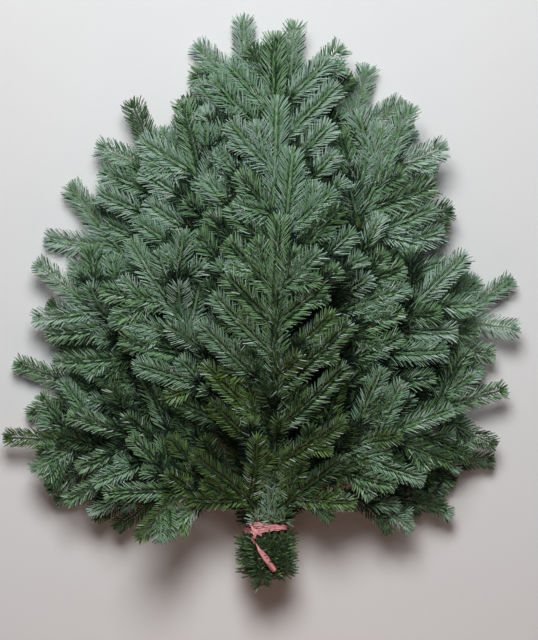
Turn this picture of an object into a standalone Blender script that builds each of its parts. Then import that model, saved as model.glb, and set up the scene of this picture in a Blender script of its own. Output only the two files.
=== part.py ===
"""A bundle of cut noble fir boughs in the shape of a Christmas tree, tied at the butt and lying on its back.

Run it with: blender --background --python part.py
Metres, +Z up from the surface that the bundle lies on, +Y from the cut butt to the top of the tree.
The boughs are set out from the tie. At the end everything is moved so that the origin lies on that
surface, under the middle of the bundle.
"""

import math

import bmesh
import bpy
import numpy as np
from mathutils import Matrix, Vector
from mathutils.bvhtree import BVHTree
from mathutils.geometry import convex_hull_2d

UP = np.array((0.0, 0.0, 1.0))
FORWARD = np.array((0.0, 1.0, 0.0))

# The tie: a stack of stems, wound with flat tape
TIE_HEIGHT = 0.064  # middle of the stack above the floor
TIE_RADIUS = 0.0043  # of each stem where it is tied
STEM_GAP = 0.0005
ROW_GAP = 0.0009
STRAIGHT = 0.015  # the stems run level and side by side this far below and above the middle of the tie
ROW_SEATS = (7, 7, 6, 5, 2)  # stems in each row of the stack, from the floor up
ROW_SHIFT = (0, 0, 0, 0, 0.0080)  # of each row to the right
BUTT_LONGEST = 0.070  # the longest stem reaches this far below the tie
BUTT_SHORTEST = 0.046
BUTT_SPLAY = 0.10  # how much wider the stack is at its cut ends
TAPE_THICK = 0.0008
TAPE_GAP = 0.0003

# Stems
BUTT_RADIUS = 0.0045
MASS_RADIUS = 0.0030  # where a stem ends and its foliage begins
STEM_SIDES = 6
STEM_BENDS = 3  # rings between the tie and the foliage
BEND_CROWDING = 1.4  # over 1, the rings lie closer together near the tie
MEETING_GAP = 0.0004

# Foliage: a twig with its needles is one toothed blade with a thick rib
NEEDLE = 0.024  # length of a needle
TOOTH = 0.0256  # from one tooth of the blade to the next
NOTCH_SHARE = 0.56  # how far out the blade is cut between two teeth
APEX_SHARE = 0.55  # the tip's own needle, as seen past the end of the twig
FIRST_TOOTH = 0.20  # the first needle grows this share of a step past the bare root, and the rest follow it
TOOTH_REACH = 0.45  # a needle's tip lies about this share of a step further up the twig than its foot
SHOULDER_BACK = 0.35  # the pair of needles next to the tip's own: steps back from the end of the twig,
SHOULDER_SPREAD = 0.75  # how far they spread for their length,
SHOULDER_LENGTH = 0.45  # and their length over a needle's
LAST_SHARE = 0.99  # they come just before the tip in the order along the edge
LEAST_TEETH = 2
SWEEP_AT_ROOT = math.radians(60)  # between a needle and its twig
SWEEP_AT_TIP = math.radians(30)
NEEDLE_LIFT = 0.20  # on a leading twig, needles sweep up by this share of their length
AXIS_RIB = 0.0028  # half the rib's thickness where a bough's foliage begins
AXIS_RIB_AT_TIP = 0.0009
TWIG_RIB = 0.0023  # height of a side twig's ridge over its middle, where it grows
TWIG_RIB_AT_TIP = 0.0008
TWIG_DROP = 0.0007  # depth of its flat underside
RIB_WIDTH = 1.2  # half a bare rib's width over its height

# Side twigs
AXIS_STEP = 0.085  # from one bend of a bough to the next
TWIG_BARE = 0.013  # of a side twig, next to its bough
TWIG_SUNK = TWIG_BARE / 3  # of that, inside the bough's own rib
TERMINAL = 0.084  # growth of the last year, with no side twigs
TERMINAL_BARE = 0.017  # of it, next to the uppermost side twigs
LEADER_BENDS = 12
ROOT_ROOM = 0.012  # no twig grows this near to where the foliage begins
NODE_SPACING = 0.047
NODE_JITTER = 0.34
TWIG_ANGLE = math.radians(50)
TWIG_TURN = math.radians(-9)  # a side twig bends back towards its bough
TWIG_TILT = 7
TWIG_SHORTEST = 0.080
TWIG_LONGEST = 0.120
TWIG_GROWTH = 0.30  # how much longer a side twig is for each metre further down its bough
TWIG_JITTER = 0.14
CLEARANCE = 0.0009  # least room between the blades of two boughs
SHADE_MOST = 2  # a twig under this many blades of other boughs gets no light and isn't there
SHADE_AT = (0.45, 0.95)  # shares of a twig where the blades over it are counted
TRIES = ((0, 0, 1), (9, 0, 1), (-9, 0, 1), (16, 8, 0.9), (-16, 8, 0.9), (20, -8, 0.75), (-20, -8, 0.75),
         (8, 14, 0.6), (-8, 14, 0.6))  # lift and turn in degrees, and length, tried until a twig fits

# The outline that the whole crown keeps to, seen from the front
CROWN_HALF_WIDTH = 0.366
CROWN_TOP = 0.708
CROWN_WIDEST = 0.190
CROWN_FOOT = -0.080
CROWN_ROUNDNESS = 0.70
CROWN_HEM = -0.006  # no twig ends lower than this

SEED = 4107
TWIG_SEEDS = 300  # added to the seed for a bough's side twigs
SPRIG_SEEDS = 700  # for those of the sprigs
BUTT_SEEDS = 900  # and for the length of a bough's butt

# Each bough's name, the direction of its tip from the tie (degrees, clockwise from straight up) and its reach
BOUGHS = (
    # On the floor
    (("heel_left", -83, 0.286), ("hip_left", -57, 0.402), ("flank_high_left", -30, 0.530),
     ("top_left", -2.6, 0.690), ("shoulder_right", 12.5, 0.636), ("flank_right", 45, 0.470),
     ("foot_right", 74, 0.318)),
    # Just above it
    (("foot_left", -71, 0.370), ("flank_left", -41, 0.470), ("shoulder_left", -17.5, 0.600),
     ("top_right", 3.2, 0.680), ("flank_high_right", 24, 0.540), ("hip_right", 60, 0.370),
     ("heel_right", 84, 0.240)),
    # In the middle of the bundle
    (("middle_hip_left", -60, 0.300), ("middle_shoulder_left", -11, 0.580), ("middle_top", 1, 0.660),
     ("middle_shoulder_right", 18.8, 0.594), ("middle_flank_right", 36, 0.450),
     ("skirt_right", 80, 0.175)),
    # In front
    (("skirt_left", -77, 0.215), ("front_left", -25, 0.420), ("front_top", 1.5, 0.570),
     ("front_right", 20, 0.440), ("front_low_right", 57, 0.290)),
    # On the very front
    (("crest_back", 4.0, 0.500), ("crest", 2.4, 0.410)),
)
PLACES = [(row, place) for row in range(len(BOUGHS)) for place in range(len(BOUGHS[row]))]
FIRST_FRONT_ROW = 2  # from here on the needles are the lighter green
ROW_CREST = (0.018, 0.044, 0.080, 0.112, 0.136)  # height of each row's boughs over the floor, half way out
ROW_TIP = (0.020, 0.040, 0.070, 0.100, 0.130)  # and at their tips
ROW_BARE = (0.084, 0.076, 0.060, 0.050, 0.034)  # least length of stem between the tie and the foliage
ROW_FOLIAGE = (0.300, 0.310, 0.330, 0.345, 0.370)  # most length of foliage, as boughs in front hide the rest
CREST_LIFT = 0.030  # the frontmost bough lies over the one behind it
OUTWARD_BEND = 1.24  # a bough ends up leaning out by this much more than its tip's direction
BEND_START = 0.30  # share of the reach over which it leaves the tie straight
BEND_END = 0.36
BEND_LEAST = 0.022
LEAVE_LEVEL = 0.8  # how far a bough keeps to its height at the tie as it leaves it, from 0 to 1
ROLL = math.radians(5)

# The two short sprigs in front: row and place in the stack, butt end and tip (height over the seat)
SPRIGS = (
    ("sprig_left", 4, -2, (-0.0058, -0.0775, 0.0), (-0.092, 0.098, 0.040)),
    ("sprig_right", 4, 2.25, (0.0286, -0.0610, 0.0010), (0.098, 0.092, 0.040)),
)
SPRIG_RADIUS = 0.0052  # at the butt end
SPRIG_FORK = 0.020  # above the middle of the tie, where a sprig's needles begin
SPRIG_OVERLAP = 0.004  # of its foliage on its stem
SPRIG_LEAVE = 0.020  # how far it goes straight up before it bends out
SPRIG_ARRIVE = 0.050  # and how far it runs straight out to its tip
SPRIG_STEPS = 9
SPRIG_NEEDLE_RISE = 0.0056  # of the needles over the middle of the butt
SPRIG_BARE = 0.026  # below the middle of the tie

# Tape: each winding's width, and how far it leans to the right
WINDINGS = (("tie_band", 0.0105, 0.0022), ("tie_wrap", 0.0068, -0.0062))
TAPE_CORNERS = 8  # of the tape's way round a single stem
STRAND = ((-0.0185, -0.0135), (-0.009, -0.026), (0.0015, -0.043), (0.0120, -0.0575))
STRAND_WIDTH = 0.0062
STRAND_RISE = 0.0071

GREENS = {"back": (0.045, 0.105, 0.070), "front": (0.060, 0.135, 0.075)}
BARK = (0.120, 0.085, 0.050)
PINK = (0.640, 0.150, 0.160)
NEEDLE_ROUGHNESS = 0.55
BARK_ROUGHNESS = 0.85
TAPE_ROUGHNESS = 0.45


def unit(vector):
    return vector / np.linalg.norm(vector)


def bearing(degrees):
    """The level direction at this angle, clockwise from straight up the tree."""
    angle = math.radians(degrees)
    return np.array((math.sin(angle), math.cos(angle), 0.0))


def turned(vector, axis, angle):
    """The vector turned about the axis, by the right-hand rule."""
    axis = unit(axis)
    return (vector * math.cos(angle) + np.cross(axis, vector) * math.sin(angle)
            + axis * (axis @ vector) * (1 - math.cos(angle)))


def in_crown(point):
    """True if a twig may end here."""
    reach = CROWN_TOP - CROWN_WIDEST if point[1] > CROWN_WIDEST else CROWN_WIDEST - CROWN_FOOT
    share = (point[1] - CROWN_WIDEST) / reach
    half_width = CROWN_HALF_WIDTH * max(0.0, 1 - share * share) ** CROWN_ROUNDNESS
    return abs(point[0]) < half_width and point[1] > CROWN_HEM


class Path:
    """A smooth line through 3-D points, read at any share of its length, with the direction that faces up."""

    def __init__(self, points, up=UP):
        self.points = np.asarray(points, float)
        steps = np.linalg.norm(np.diff(self.points, axis=0), axis=1)
        self.length = steps.sum()
        self.shares = np.concatenate([[0], np.cumsum(steps)]) / self.length
        self.up = np.asarray(up, float)

    def point(self, share):
        return np.array([np.interp(share, self.shares, self.points[:, axis]) for axis in range(3)])

    def heading(self, share):
        step = 0.02
        return unit(self.point(min(1, share + step)) - self.point(max(0, share - step)))

    def frame(self, share):
        """The point, the heading, the side to the right and the way up at this share."""
        heading = self.heading(share)
        side = unit(np.cross(heading, self.up))
        return self.point(share), heading, side, np.cross(side, heading)

    def part(self, start, end, steps):
        return Path([self.point(share) for share in np.linspace(start, end, steps)], self.up)


def bezier(corners, steps=25):
    """Points on the cubic curve of these four corners."""
    a, b, c, d = (np.asarray(corner, float) for corner in corners)
    t = np.linspace(0, 1, steps)[:, None]
    return (1 - t) ** 3 * a + 3 * t * (1 - t) ** 2 * b + 3 * t * t * (1 - t) * c + t ** 3 * d


def swept(start, heading, up, turn, length, steps=4):
    """A path that sets off along the heading and turns steadily about the way up."""
    points = [start]
    for step in range(steps - 1):
        ahead = turned(heading, up, turn * (step + 0.5) / (steps - 1))
        points.append(points[-1] + ahead * length / (steps - 1))
    return Path(points, up)


# Solids, each as its vertices and faces

def mesh_of(name, vertices, faces):
    """A mesh with its faces turned outwards."""
    mesh = bpy.data.meshes.new(name)
    mesh.from_pydata([tuple(v) for v in vertices], [], faces)
    work = bmesh.new()
    work.from_mesh(mesh)
    bmesh.ops.recalc_face_normals(work, faces=work.faces)
    if work.calc_volume(signed=True) < 0:
        bmesh.ops.reverse_faces(work, faces=work.faces)
    work.to_mesh(mesh)
    work.free()
    return mesh


def rings_of(rings):
    """Vertices and faces of a solid through rings of equally many points, with flat ends."""
    sides = len(rings[0])
    last = (len(rings) - 1) * sides
    faces = [tuple(range(sides))[::-1], tuple(range(last, last + sides))]
    for ring in range(len(rings) - 1):
        for k in range(sides):
            a, b = ring * sides + k, ring * sides + (k + 1) % sides
            faces.append((a, b, b + sides, a + sides))
    return [point for ring in rings for point in ring], faces


def tube(path, radii, shares):
    """A tapering stem with a ring of this radius at each of these shares."""
    angles = 2 * math.pi * (np.arange(STEM_SIDES) + 0.5) / STEM_SIDES
    rings = []
    for share, radius in zip(shares, radii):
        point, _, side, up = path.frame(share)
        rings.append([point + radius * (side * math.cos(angle) + up * math.sin(angle)) for angle in angles])
    return rings_of(rings)


def zipper(left, right):
    """Triangles between two rows of (vertex number, share) that end at the same vertex."""
    triangles = []
    i = j = 0
    while i < len(left) - 1 or j < len(right) - 1:
        if j == len(right) - 1 or (i < len(left) - 1 and left[i + 1][1] < right[j + 1][1]):
            corners = (left[i][0], left[i + 1][0], right[j][0])
            i += 1
        else:
            corners = (left[i][0], right[j + 1][0], right[j][0])
            j += 1
        if len(set(corners)) == 3:
            triangles.append(corners)
    return triangles


def needle_shares(path, bare):
    """Where along a twig each needle of its blade grows."""
    teeth = max(LEAST_TEETH, round(path.length * (1 - bare) / TOOTH))
    return list(bare + (1 - bare) / (teeth + 0.5) * (np.arange(teeth) + FIRST_TOOTH))


def toothed_edge(path, hand, roots, needles, width, lift):
    """Points and shares along one edge of a blade: its bare root, then a notch and a tip for each needle."""
    step = needles[1] - needles[0]
    edge = []
    for share in roots:
        point, _, side, _ = path.frame(share)
        edge.append((point + side * hand * width, share))
    for number, share in enumerate(needles):
        swing = SWEEP_AT_ROOT + (SWEEP_AT_TIP - SWEEP_AT_ROOT) * (number / (len(needles) - 0.5)) ** 2
        point, heading, side, up = path.frame(share)
        outward = (heading * math.cos(swing) + side * hand * math.sin(swing) + up * lift) * NEEDLE
        if number:
            edge.append((point + outward * NOTCH_SHARE, share))
        edge.append((point + outward, share + TOOTH_REACH * step))
    point, heading, side, _ = path.frame(1 - SHOULDER_BACK * step)
    shoulder = (heading + side * hand * SHOULDER_SPREAD) * NEEDLE * SHOULDER_LENGTH
    edge.append((point + shoulder, LAST_SHARE))
    return edge


class Blade:
    """The vertices and faces of a twig with its needles, as they are put together."""

    def __init__(self, path):
        self.path = path
        self.vertices = [path.point(1) + path.heading(1) * NEEDLE * APEX_SHARE]
        self.faces = []

    def row(self, points):
        """Numbers the points of one row, which then ends at the apex."""
        start = len(self.vertices)
        self.vertices += [point for point, _ in points]
        return [(start + k, share) for k, (_, share) in enumerate(points)] + [(0, 1.0)]

    def ridge(self, shares, heights):
        return self.row([(self.path.point(share) + self.path.frame(share)[3] * height, share)
                         for share, height in zip(shares, heights)])


def leading_blade(path, stations):
    """A bough's own line: a four-sided bar that bends at the stations and then opens into a toothed blade."""
    blade = Blade(path)
    needles = needle_shares(path, stations[-1] + TERMINAL_BARE / path.length)
    shares = stations + needles
    heights = AXIS_RIB + (AXIS_RIB_AT_TIP - AXIS_RIB) * np.array(shares)
    top = blade.ridge(shares, heights)
    bottom = blade.ridge(shares, -heights)
    for hand in (1, -1):
        edge = blade.row(toothed_edge(path, hand, stations, needles, AXIS_RIB * RIB_WIDTH, NEEDLE_LIFT))
        blade.faces += zipper(top, edge) + zipper(bottom, edge)
        blade.faces.append((top[0][0], edge[0][0], bottom[0][0]))
    return blade.vertices, blade.faces


def side_blade(path):
    """A side twig: a toothed blade with a ridge on top and a flat underside."""
    blade = Blade(path)
    bare = TWIG_BARE / path.length
    needles = needle_shares(path, bare)
    shares = [0] + needles
    top = blade.ridge(shares, TWIG_RIB + (TWIG_RIB_AT_TIP - TWIG_RIB) * np.array(shares))
    edges = [blade.row([(point - path.up * TWIG_DROP, share) for point, share in
                        toothed_edge(path, hand, (0, bare), needles, TWIG_RIB * RIB_WIDTH, 0)])
             for hand in (1, -1)]
    blade.vertices[0] = blade.vertices[0] - path.up * TWIG_DROP
    for edge in edges:
        blade.faces += zipper(top, edge)
    blade.faces += zipper(*edges)
    blade.faces.append((top[0][0], edges[0][0][0], edges[1][0][0]))
    return blade.vertices, blade.faces


# Room: which solids are already there

def triangles_of(faces):
    return [(face[0], face[k], face[k + 1]) for face in faces for k in range(1, len(face) - 1)]


def tree_of(vertices, triangles):
    return BVHTree.FromPolygons([Vector(v) for v in vertices], triangles)


def fattened(vertices, path):
    """The vertices moved out from the path by the clearance."""
    spots = np.array([path.point(share) for share in np.linspace(0, 1, 9)])
    grown = []
    for vertex in vertices:
        away = vertex - spots[np.argmin(np.linalg.norm(spots - vertex, axis=1))]
        grown.append(vertex + away / max(np.linalg.norm(away), 1e-6) * CLEARANCE)
    return grown


class Room:
    """The solids of every bough so far, by the name of their owner."""

    def __init__(self):
        self.owners = {}

    def add(self, owner, vertices, faces):
        box = np.min(vertices, axis=0), np.max(vertices, axis=0)
        self.owners.setdefault(owner, []).append((box, tree_of(vertices, triangles_of(faces))))

    def shaded(self, owner, path):
        """True if too many blades of other boughs lie over the whole twig."""
        counts = []
        for share in SHADE_AT:
            point = Vector(path.point(share))
            above = [tree for name, solids in self.owners.items() if name != owner for box, tree in solids
                     if (box[0][:2] < point[:2]).all() and (box[1][:2] > point[:2]).all()]
            counts.append(sum(1 for tree in above if tree.ray_cast(point, Vector(UP))[0]))
        return min(counts) >= SHADE_MOST

    def crosses_own(self, owner, vertices, faces, root):
        """True if a twig runs into another one of its own bough, away from where it grows."""
        vertices = np.array(fattened(vertices, Path([root, np.mean(vertices, axis=0)])))
        away = [face for face in triangles_of(faces)
                if np.linalg.norm(vertices[list(face)] - root, axis=1).min() > TWIG_SUNK]
        tree = tree_of(vertices, away)
        return any(tree.overlap(other) for _, other in self.owners.get(owner, ()))

    def free(self, owner, vertices, faces, path):
        """True if the solid clears the floor and everything that belongs to others."""
        vertices = fattened(vertices, path)
        low, high = np.min(vertices, axis=0), np.max(vertices, axis=0)
        if low[2] < 0:
            return False
        tree = tree_of(vertices, triangles_of(faces))
        for name, solids in self.owners.items():
            if name == owner:
                continue
            for (other_low, other_high), other in solids:
                apart = (low > other_high).any() or (high < other_low).any()
                if not apart and tree.overlap(other):
                    return False
        return True


# The boughs

def seat(row, place):
    """Where a stem stands in the stack at the tie."""
    across = (2 * TIE_RADIUS * math.cos(math.pi / STEM_SIDES) + STEM_GAP) * (place - (ROW_SEATS[row] - 1) / 2)
    height = (2 * TIE_RADIUS + ROW_GAP) * (row - (len(ROW_SEATS) - 1) / 2)
    return np.array((across + ROW_SHIFT[row], 0.0, TIE_HEIGHT + height))


def bough_line(row, place):
    """The whole line of a bough from the tie to its tip."""
    _, direction, reach = BOUGHS[row][place]
    start = seat(row, place) + FORWARD * STRAIGHT
    lift = CREST_LIFT if (row, place) == (len(BOUGHS) - 1, 1) else 0.0
    tip = bearing(direction) * reach + UP * (ROW_TIP[row] + lift)
    ahead = max(0.0, math.cos(math.radians(direction)))
    leave = start + FORWARD * (reach * BEND_START * ahead + BEND_LEAST)
    arrive = tip - bearing(direction * OUTWARD_BEND) * reach * BEND_END
    arrive[2] = ROW_CREST[row] + lift
    leave[2] = LEAVE_LEVEL * start[2] + (1 - LEAVE_LEVEL) * arrive[2]
    return Path(bezier((start, leave, arrive, tip)))


def bare_share(row, place, line):
    """The share of a bough that is bare stem."""
    return max(ROW_BARE[row], line.length - ROW_FOLIAGE[row]) / line.length


def stem_solid(row, place):
    """A stem from its cut end through the tie to where the foliage begins."""
    rng = np.random.RandomState(SEED + BUTT_SEEDS + 10 * row + place)
    line = bough_line(row, place)
    tied = seat(row, place)
    length = rng.uniform(BUTT_SHORTEST, BUTT_LONGEST)
    butt = tied * (1 + BUTT_SPLAY * length / BUTT_LONGEST, 1, 1) - FORWARD * length
    upper = line.part(0, bare_share(row, place, line), 4 * STEM_BENDS + 1)
    path = Path([butt, tied - FORWARD * STRAIGHT] + list(upper.points))
    start = path.shares[2]
    crowded = np.linspace(0, 1, STEM_BENDS + 1) ** BEND_CROWDING
    shares = [0, path.shares[1]] + list(start + (1 - start) * crowded)
    knots = (0, shares[1], shares[2], 1)
    radii = np.interp(shares, knots, (BUTT_RADIUS, TIE_RADIUS, TIE_RADIUS, MASS_RADIUS))
    return tube(path, radii, shares)


def twig_length(distance, rng):
    """A side twig is longer the further it stands from its bough's tip."""
    length = min(TWIG_LONGEST, TWIG_SHORTEST + TWIG_GROWTH * max(0.0, distance - TERMINAL))
    return length * (1 + TWIG_JITTER * (2 * rng.random_sample() - 1))


def side_twig(axis, share, hand, tilt, length, attempt):
    """The path of one side twig of a bough, in one of the ways that are tried."""
    lift, turn, scale = attempt
    point, heading, _, up = axis.frame(share)
    up = turned(up, heading, math.radians(tilt))
    outward = turned(heading, up, -hand * (TWIG_ANGLE + math.radians(turn)))
    hinge = unit(np.cross(outward, up))
    outward = turned(outward, hinge, math.radians(lift))
    return swept(point, outward, turned(up, hinge, math.radians(lift)), -hand * TWIG_TURN, length * scale)


def leader_of(row, place):
    """The line of a bough's foliage and its stations."""
    rng = np.random.RandomState(SEED + 10 * row + place)
    line = bough_line(row, place)
    axis = line.part(bare_share(row, place, line) + MEETING_GAP / line.length, 1, LEADER_BENDS)
    axis.up = turned(UP, axis.heading(0.5), ROLL * (2 * rng.random_sample() - 1))
    bends = max(1, round((axis.length - TERMINAL) / AXIS_STEP))
    return axis, list(np.linspace(0, 1 - TERMINAL / axis.length, bends + 1))


def side_blades(owner, axis, room, rng):
    """The side twigs of one bough that find room, from its tip down."""
    blades = []
    for node in range(round((axis.length - TERMINAL) / NODE_SPACING)):
        for hand in (1, -1):
            distance = TERMINAL + NODE_SPACING * (node + NODE_JITTER * rng.random_sample())
            tilt = rng.uniform(-TWIG_TILT, TWIG_TILT)
            length = twig_length(distance, rng)
            if distance > axis.length - ROOT_ROOM:
                continue
            if room.shaded(owner, side_twig(axis, 1 - distance / axis.length, hand, tilt, length, TRIES[0])):
                continue
            for attempt in TRIES:
                path = side_twig(axis, 1 - distance / axis.length, hand, tilt, length, attempt)
                solid = side_blade(path)
                if (in_crown(path.point(1)) and room.free(owner, *solid, path)
                        and not room.crosses_own(owner, *solid, path.point(0))):
                    room.add(owner, *solid)
                    blades.append(solid)
                    break
    return blades


# Objects

def keep_outside(mesh):
    """Fills the hidden pockets between crossing twigs: only the surface with the most vertices stays."""
    work = bmesh.new()
    work.from_mesh(mesh)
    left = set(work.verts)
    pieces = []
    while left:
        piece = {left.pop()}
        edge = list(piece)
        while edge:
            vertex = edge.pop()
            near = {link.other_vert(vertex) for link in vertex.link_edges} - piece
            piece |= near
            edge += near
        left -= piece
        pieces.append(piece)
    pieces.sort(key=len)
    for piece in pieces[:-1]:
        bmesh.ops.delete(work, geom=list(piece), context="VERTS")
    work.to_mesh(mesh)
    work.free()


def body_of(name, solids, finish):
    """One object from several overlapping solids, by one Boolean union on a collection."""
    body = bpy.data.objects.new(name, mesh_of(name, *solids[0]))
    bpy.context.scene.collection.objects.link(body)
    if len(solids) > 1:
        group = bpy.data.collections.new(name + "_pieces")
        for number, solid in enumerate(solids[1:]):
            group.objects.link(bpy.data.objects.new(f"{name}_{number}", mesh_of(name, *solid)))
        union = body.modifiers.new("union", "BOOLEAN")
        union.operation = "UNION"
        union.operand_type = "COLLECTION"
        union.collection = group
        union.solver = "MANIFOLD"
        graph = bpy.context.evaluated_depsgraph_get()
        whole = bpy.data.meshes.new_from_object(body.evaluated_get(graph))
        body.modifiers.clear()
        body.data = whole
        keep_outside(whole)
        for piece in list(group.objects):
            bpy.data.objects.remove(piece)
        bpy.data.collections.remove(group)
    body.data.materials.clear()
    body.data.materials.append(finish)
    return body


def material(name, colour, roughness):
    made = bpy.data.materials.new(name)
    made.use_nodes = True
    shader = made.node_tree.nodes["Principled BSDF"]
    shader.inputs["Base Color"].default_value = (*colour, 1)
    shader.inputs["Roughness"].default_value = roughness
    made.diffuse_color = (*colour, 1)
    return made


def add_stems(room):
    bark = material("bark", BARK, BARK_ROUGHNESS)
    for row, place in PLACES:
        name = BOUGHS[row][place][0] + "_stem"
        stem = stem_solid(row, place)
        room.add(name, *stem)
        body_of(name, [stem], bark)


def add_foliage(room):
    """A mass of foliage for each bough. The front rows grow first, because they show most."""
    greens = [material(name + "_needles", colour, NEEDLE_ROUGHNESS) for name, colour in GREENS.items()]
    leaders = {}
    for row, place in PLACES:
        name = BOUGHS[row][place][0]
        axis, stations = leader_of(row, place)
        leaders[name] = axis, leading_blade(axis, stations)
        room.add(name, *leaders[name][1])
    for row, place in reversed(PLACES):
        name = BOUGHS[row][place][0]
        axis, leader = leaders[name]
        rng = np.random.RandomState(SEED + TWIG_SEEDS + 10 * row + place)
        solids = [leader] + side_blades(name, axis, room, rng)
        body_of(name + "_foliage", solids, greens[row >= FIRST_FRONT_ROW])


def add_sprigs(room):
    """The two short sprigs in front, clothed with needles above and below the tie."""
    green = material("sprig_needles", GREENS["front"], NEEDLE_ROUGHNESS)
    for number, (name, row, place, butt, tip) in enumerate(SPRIGS):
        tied = seat(row, place)
        end, tip = tied * (0, 0, 1) + butt, tied * (0, 0, 1) + tip
        fork = tied + FORWARD * SPRIG_FORK
        stem = Path([end, tied - FORWARD * STRAIGHT, fork])
        needles = UP * SPRIG_NEEDLE_RISE
        lower = Path([end + FORWARD * SPRIG_RADIUS + needles, tied - FORWARD * SPRIG_BARE + needles])
        arrive = tip - unit(tip - fork) * SPRIG_ARRIVE
        corners = (fork - FORWARD * SPRIG_OVERLAP, fork + FORWARD * SPRIG_LEAVE, arrive, tip)
        upper = Path(bezier(corners, SPRIG_STEPS))
        terminal = 1 - TERMINAL / upper.length
        solids = [tube(stem, (SPRIG_RADIUS, TIE_RADIUS, TIE_RADIUS), stem.shares), side_blade(lower),
                  leading_blade(upper, [0, terminal / 2, terminal])]
        for solid in solids:
            room.add(name, *solid)
        rng = np.random.RandomState(SEED + SPRIG_SEEDS + number)
        body_of(name, solids + side_blades(name, upper, room, rng), green)


def tape_outline(radii):
    """For each radius, the outline (x, z) of a string at that distance round every seat."""
    seats = [seat(row, place) for row, place in PLACES + [sprig[1:3] for sprig in SPRIGS]]
    angles = [2 * math.pi * (k + 0.5) / TAPE_CORNERS for k in range(TAPE_CORNERS)]
    corners = [(middle[0], middle[2], angle) for middle in seats for angle in angles]
    outlines = [[(x + radius * math.cos(angle), z + radius * math.sin(angle)) for x, z, angle in corners]
                for radius in radii]
    order = convex_hull_2d(outlines[0])
    return [[outline[k] for k in order] for outline in outlines]


def winding(inner, outer, width, lean):
    """One turn of tape round the stack, a band that leans to the right."""
    reach = max(abs(x) for x, _ in inner)
    rings = []
    for (inner_x, inner_z), (outer_x, outer_z) in zip(inner, outer):
        middle = lean * inner_x / reach * (1 if inner_z > TIE_HEIGHT else -1)
        low, high = middle - width / 2, middle + width / 2
        rings.append([np.array(corner) for corner in ((inner_x, low, inner_z), (outer_x, low, outer_z),
                                                      (outer_x, high, outer_z), (inner_x, high, inner_z))])
    vertices = [point for ring in rings for point in ring]
    faces = []
    for ring in range(len(rings)):
        following = (ring + 1) % len(rings)
        for k in range(4):
            a, b = 4 * ring + k, 4 * ring + (k + 1) % 4
            faces.append((a, b, 4 * following + (k + 1) % 4, 4 * following + k))
    return vertices, faces


def add_tie(room):
    """Two windings of flat tape, one over the other, and a loose strand that hangs over the butt."""
    pink = material("tie_tape", PINK, TAPE_ROUGHNESS)
    steps = np.cumsum([TAPE_GAP, TAPE_THICK] * len(WINDINGS))
    outlines = tape_outline(TIE_RADIUS / math.cos(math.pi / TAPE_CORNERS) + steps)
    for turn, (name, width, lean) in enumerate(WINDINGS):
        solid = winding(outlines[2 * turn], outlines[2 * turn + 1], width, lean)
        room.add(name, *solid)
        body_of(name, [solid], pink)
    top = seat(len(ROW_SEATS) - 1, 0)[2] + STRAND_RISE
    rings = []
    path = Path([np.array((x, y, top)) for x, y in STRAND])
    for share in path.shares:
        point, _, side, up = path.frame(share)
        across, through = side * STRAND_WIDTH / 2, up * TAPE_THICK / 2
        rings.append([point - across - through, point + across - through, point + across + through,
                      point - across + through])
    strand = rings_of(rings)
    room.add("tie_strand", *strand)
    body_of("tie_strand", [strand], pink)


def centre_on_floor():
    """Moves every object so that the origin lies on the floor under the middle of the bundle."""
    meshes = [body.data for body in bpy.data.objects]
    corners = np.array([tuple(vertex.co) for mesh in meshes for vertex in mesh.vertices])
    low, high = corners.min(axis=0), corners.max(axis=0)
    shift = Matrix.Translation((-(low[0] + high[0]) / 2, -(low[1] + high[1]) / 2, -low[2]))
    for mesh in meshes:
        mesh.transform(shift)


def main():
    for old in list(bpy.data.objects):
        bpy.data.objects.remove(old)
    room = Room()
    add_stems(room)
    add_sprigs(room)
    add_tie(room)
    add_foliage(room)
    centre_on_floor()


main()
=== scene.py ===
"""The looks of a tied bundle of cut fir boughs that lies on its back, built around its packed solids.

Every solid of the bundle is replaced here: the stems by bark with its relief and cut ends, the masses of
needles by shoots, buds and single needles that follow the same growth rule as the solids, and the tie by
folded tape. Metres, +Z up from the floor, +Y from the cut butts to the top of the tree.
"""

import functools
import math

import bpy
import numpy as np
from bpy.props import FloatProperty, FloatVectorProperty, IntProperty, PointerProperty
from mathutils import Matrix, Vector, noise
from mathutils.geometry import convex_hull_2d
from mathutils.kdtree import KDTree


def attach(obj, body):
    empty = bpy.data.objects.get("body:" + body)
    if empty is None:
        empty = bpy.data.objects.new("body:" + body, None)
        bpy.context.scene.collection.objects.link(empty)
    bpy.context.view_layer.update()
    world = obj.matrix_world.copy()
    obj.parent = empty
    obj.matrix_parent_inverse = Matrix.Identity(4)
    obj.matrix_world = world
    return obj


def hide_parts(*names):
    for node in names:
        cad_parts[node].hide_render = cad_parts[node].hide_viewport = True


bl_info = {
    "name": "Tied bundle of fir boughs",
    "version": (1, 0, 0),
    "blender": (4, 5, 0),
    "location": "3D View > Sidebar > Fir bundle",
    "description": "Bark, shoots, buds, needles and tie tape for a bundle of cut fir boughs",
    "category": "Object",
}

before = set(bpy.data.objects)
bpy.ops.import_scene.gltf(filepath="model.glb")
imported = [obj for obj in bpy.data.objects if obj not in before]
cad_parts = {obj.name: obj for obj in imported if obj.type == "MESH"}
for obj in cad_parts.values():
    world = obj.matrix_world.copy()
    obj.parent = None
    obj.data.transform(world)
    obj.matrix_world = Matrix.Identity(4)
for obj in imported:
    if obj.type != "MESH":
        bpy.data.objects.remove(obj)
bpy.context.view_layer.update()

UP = np.array((0.0, 0.0, 1.0))
FORWARD = np.array((0.0, 1.0, 0.0))
HANDS = (1, -1)

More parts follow.
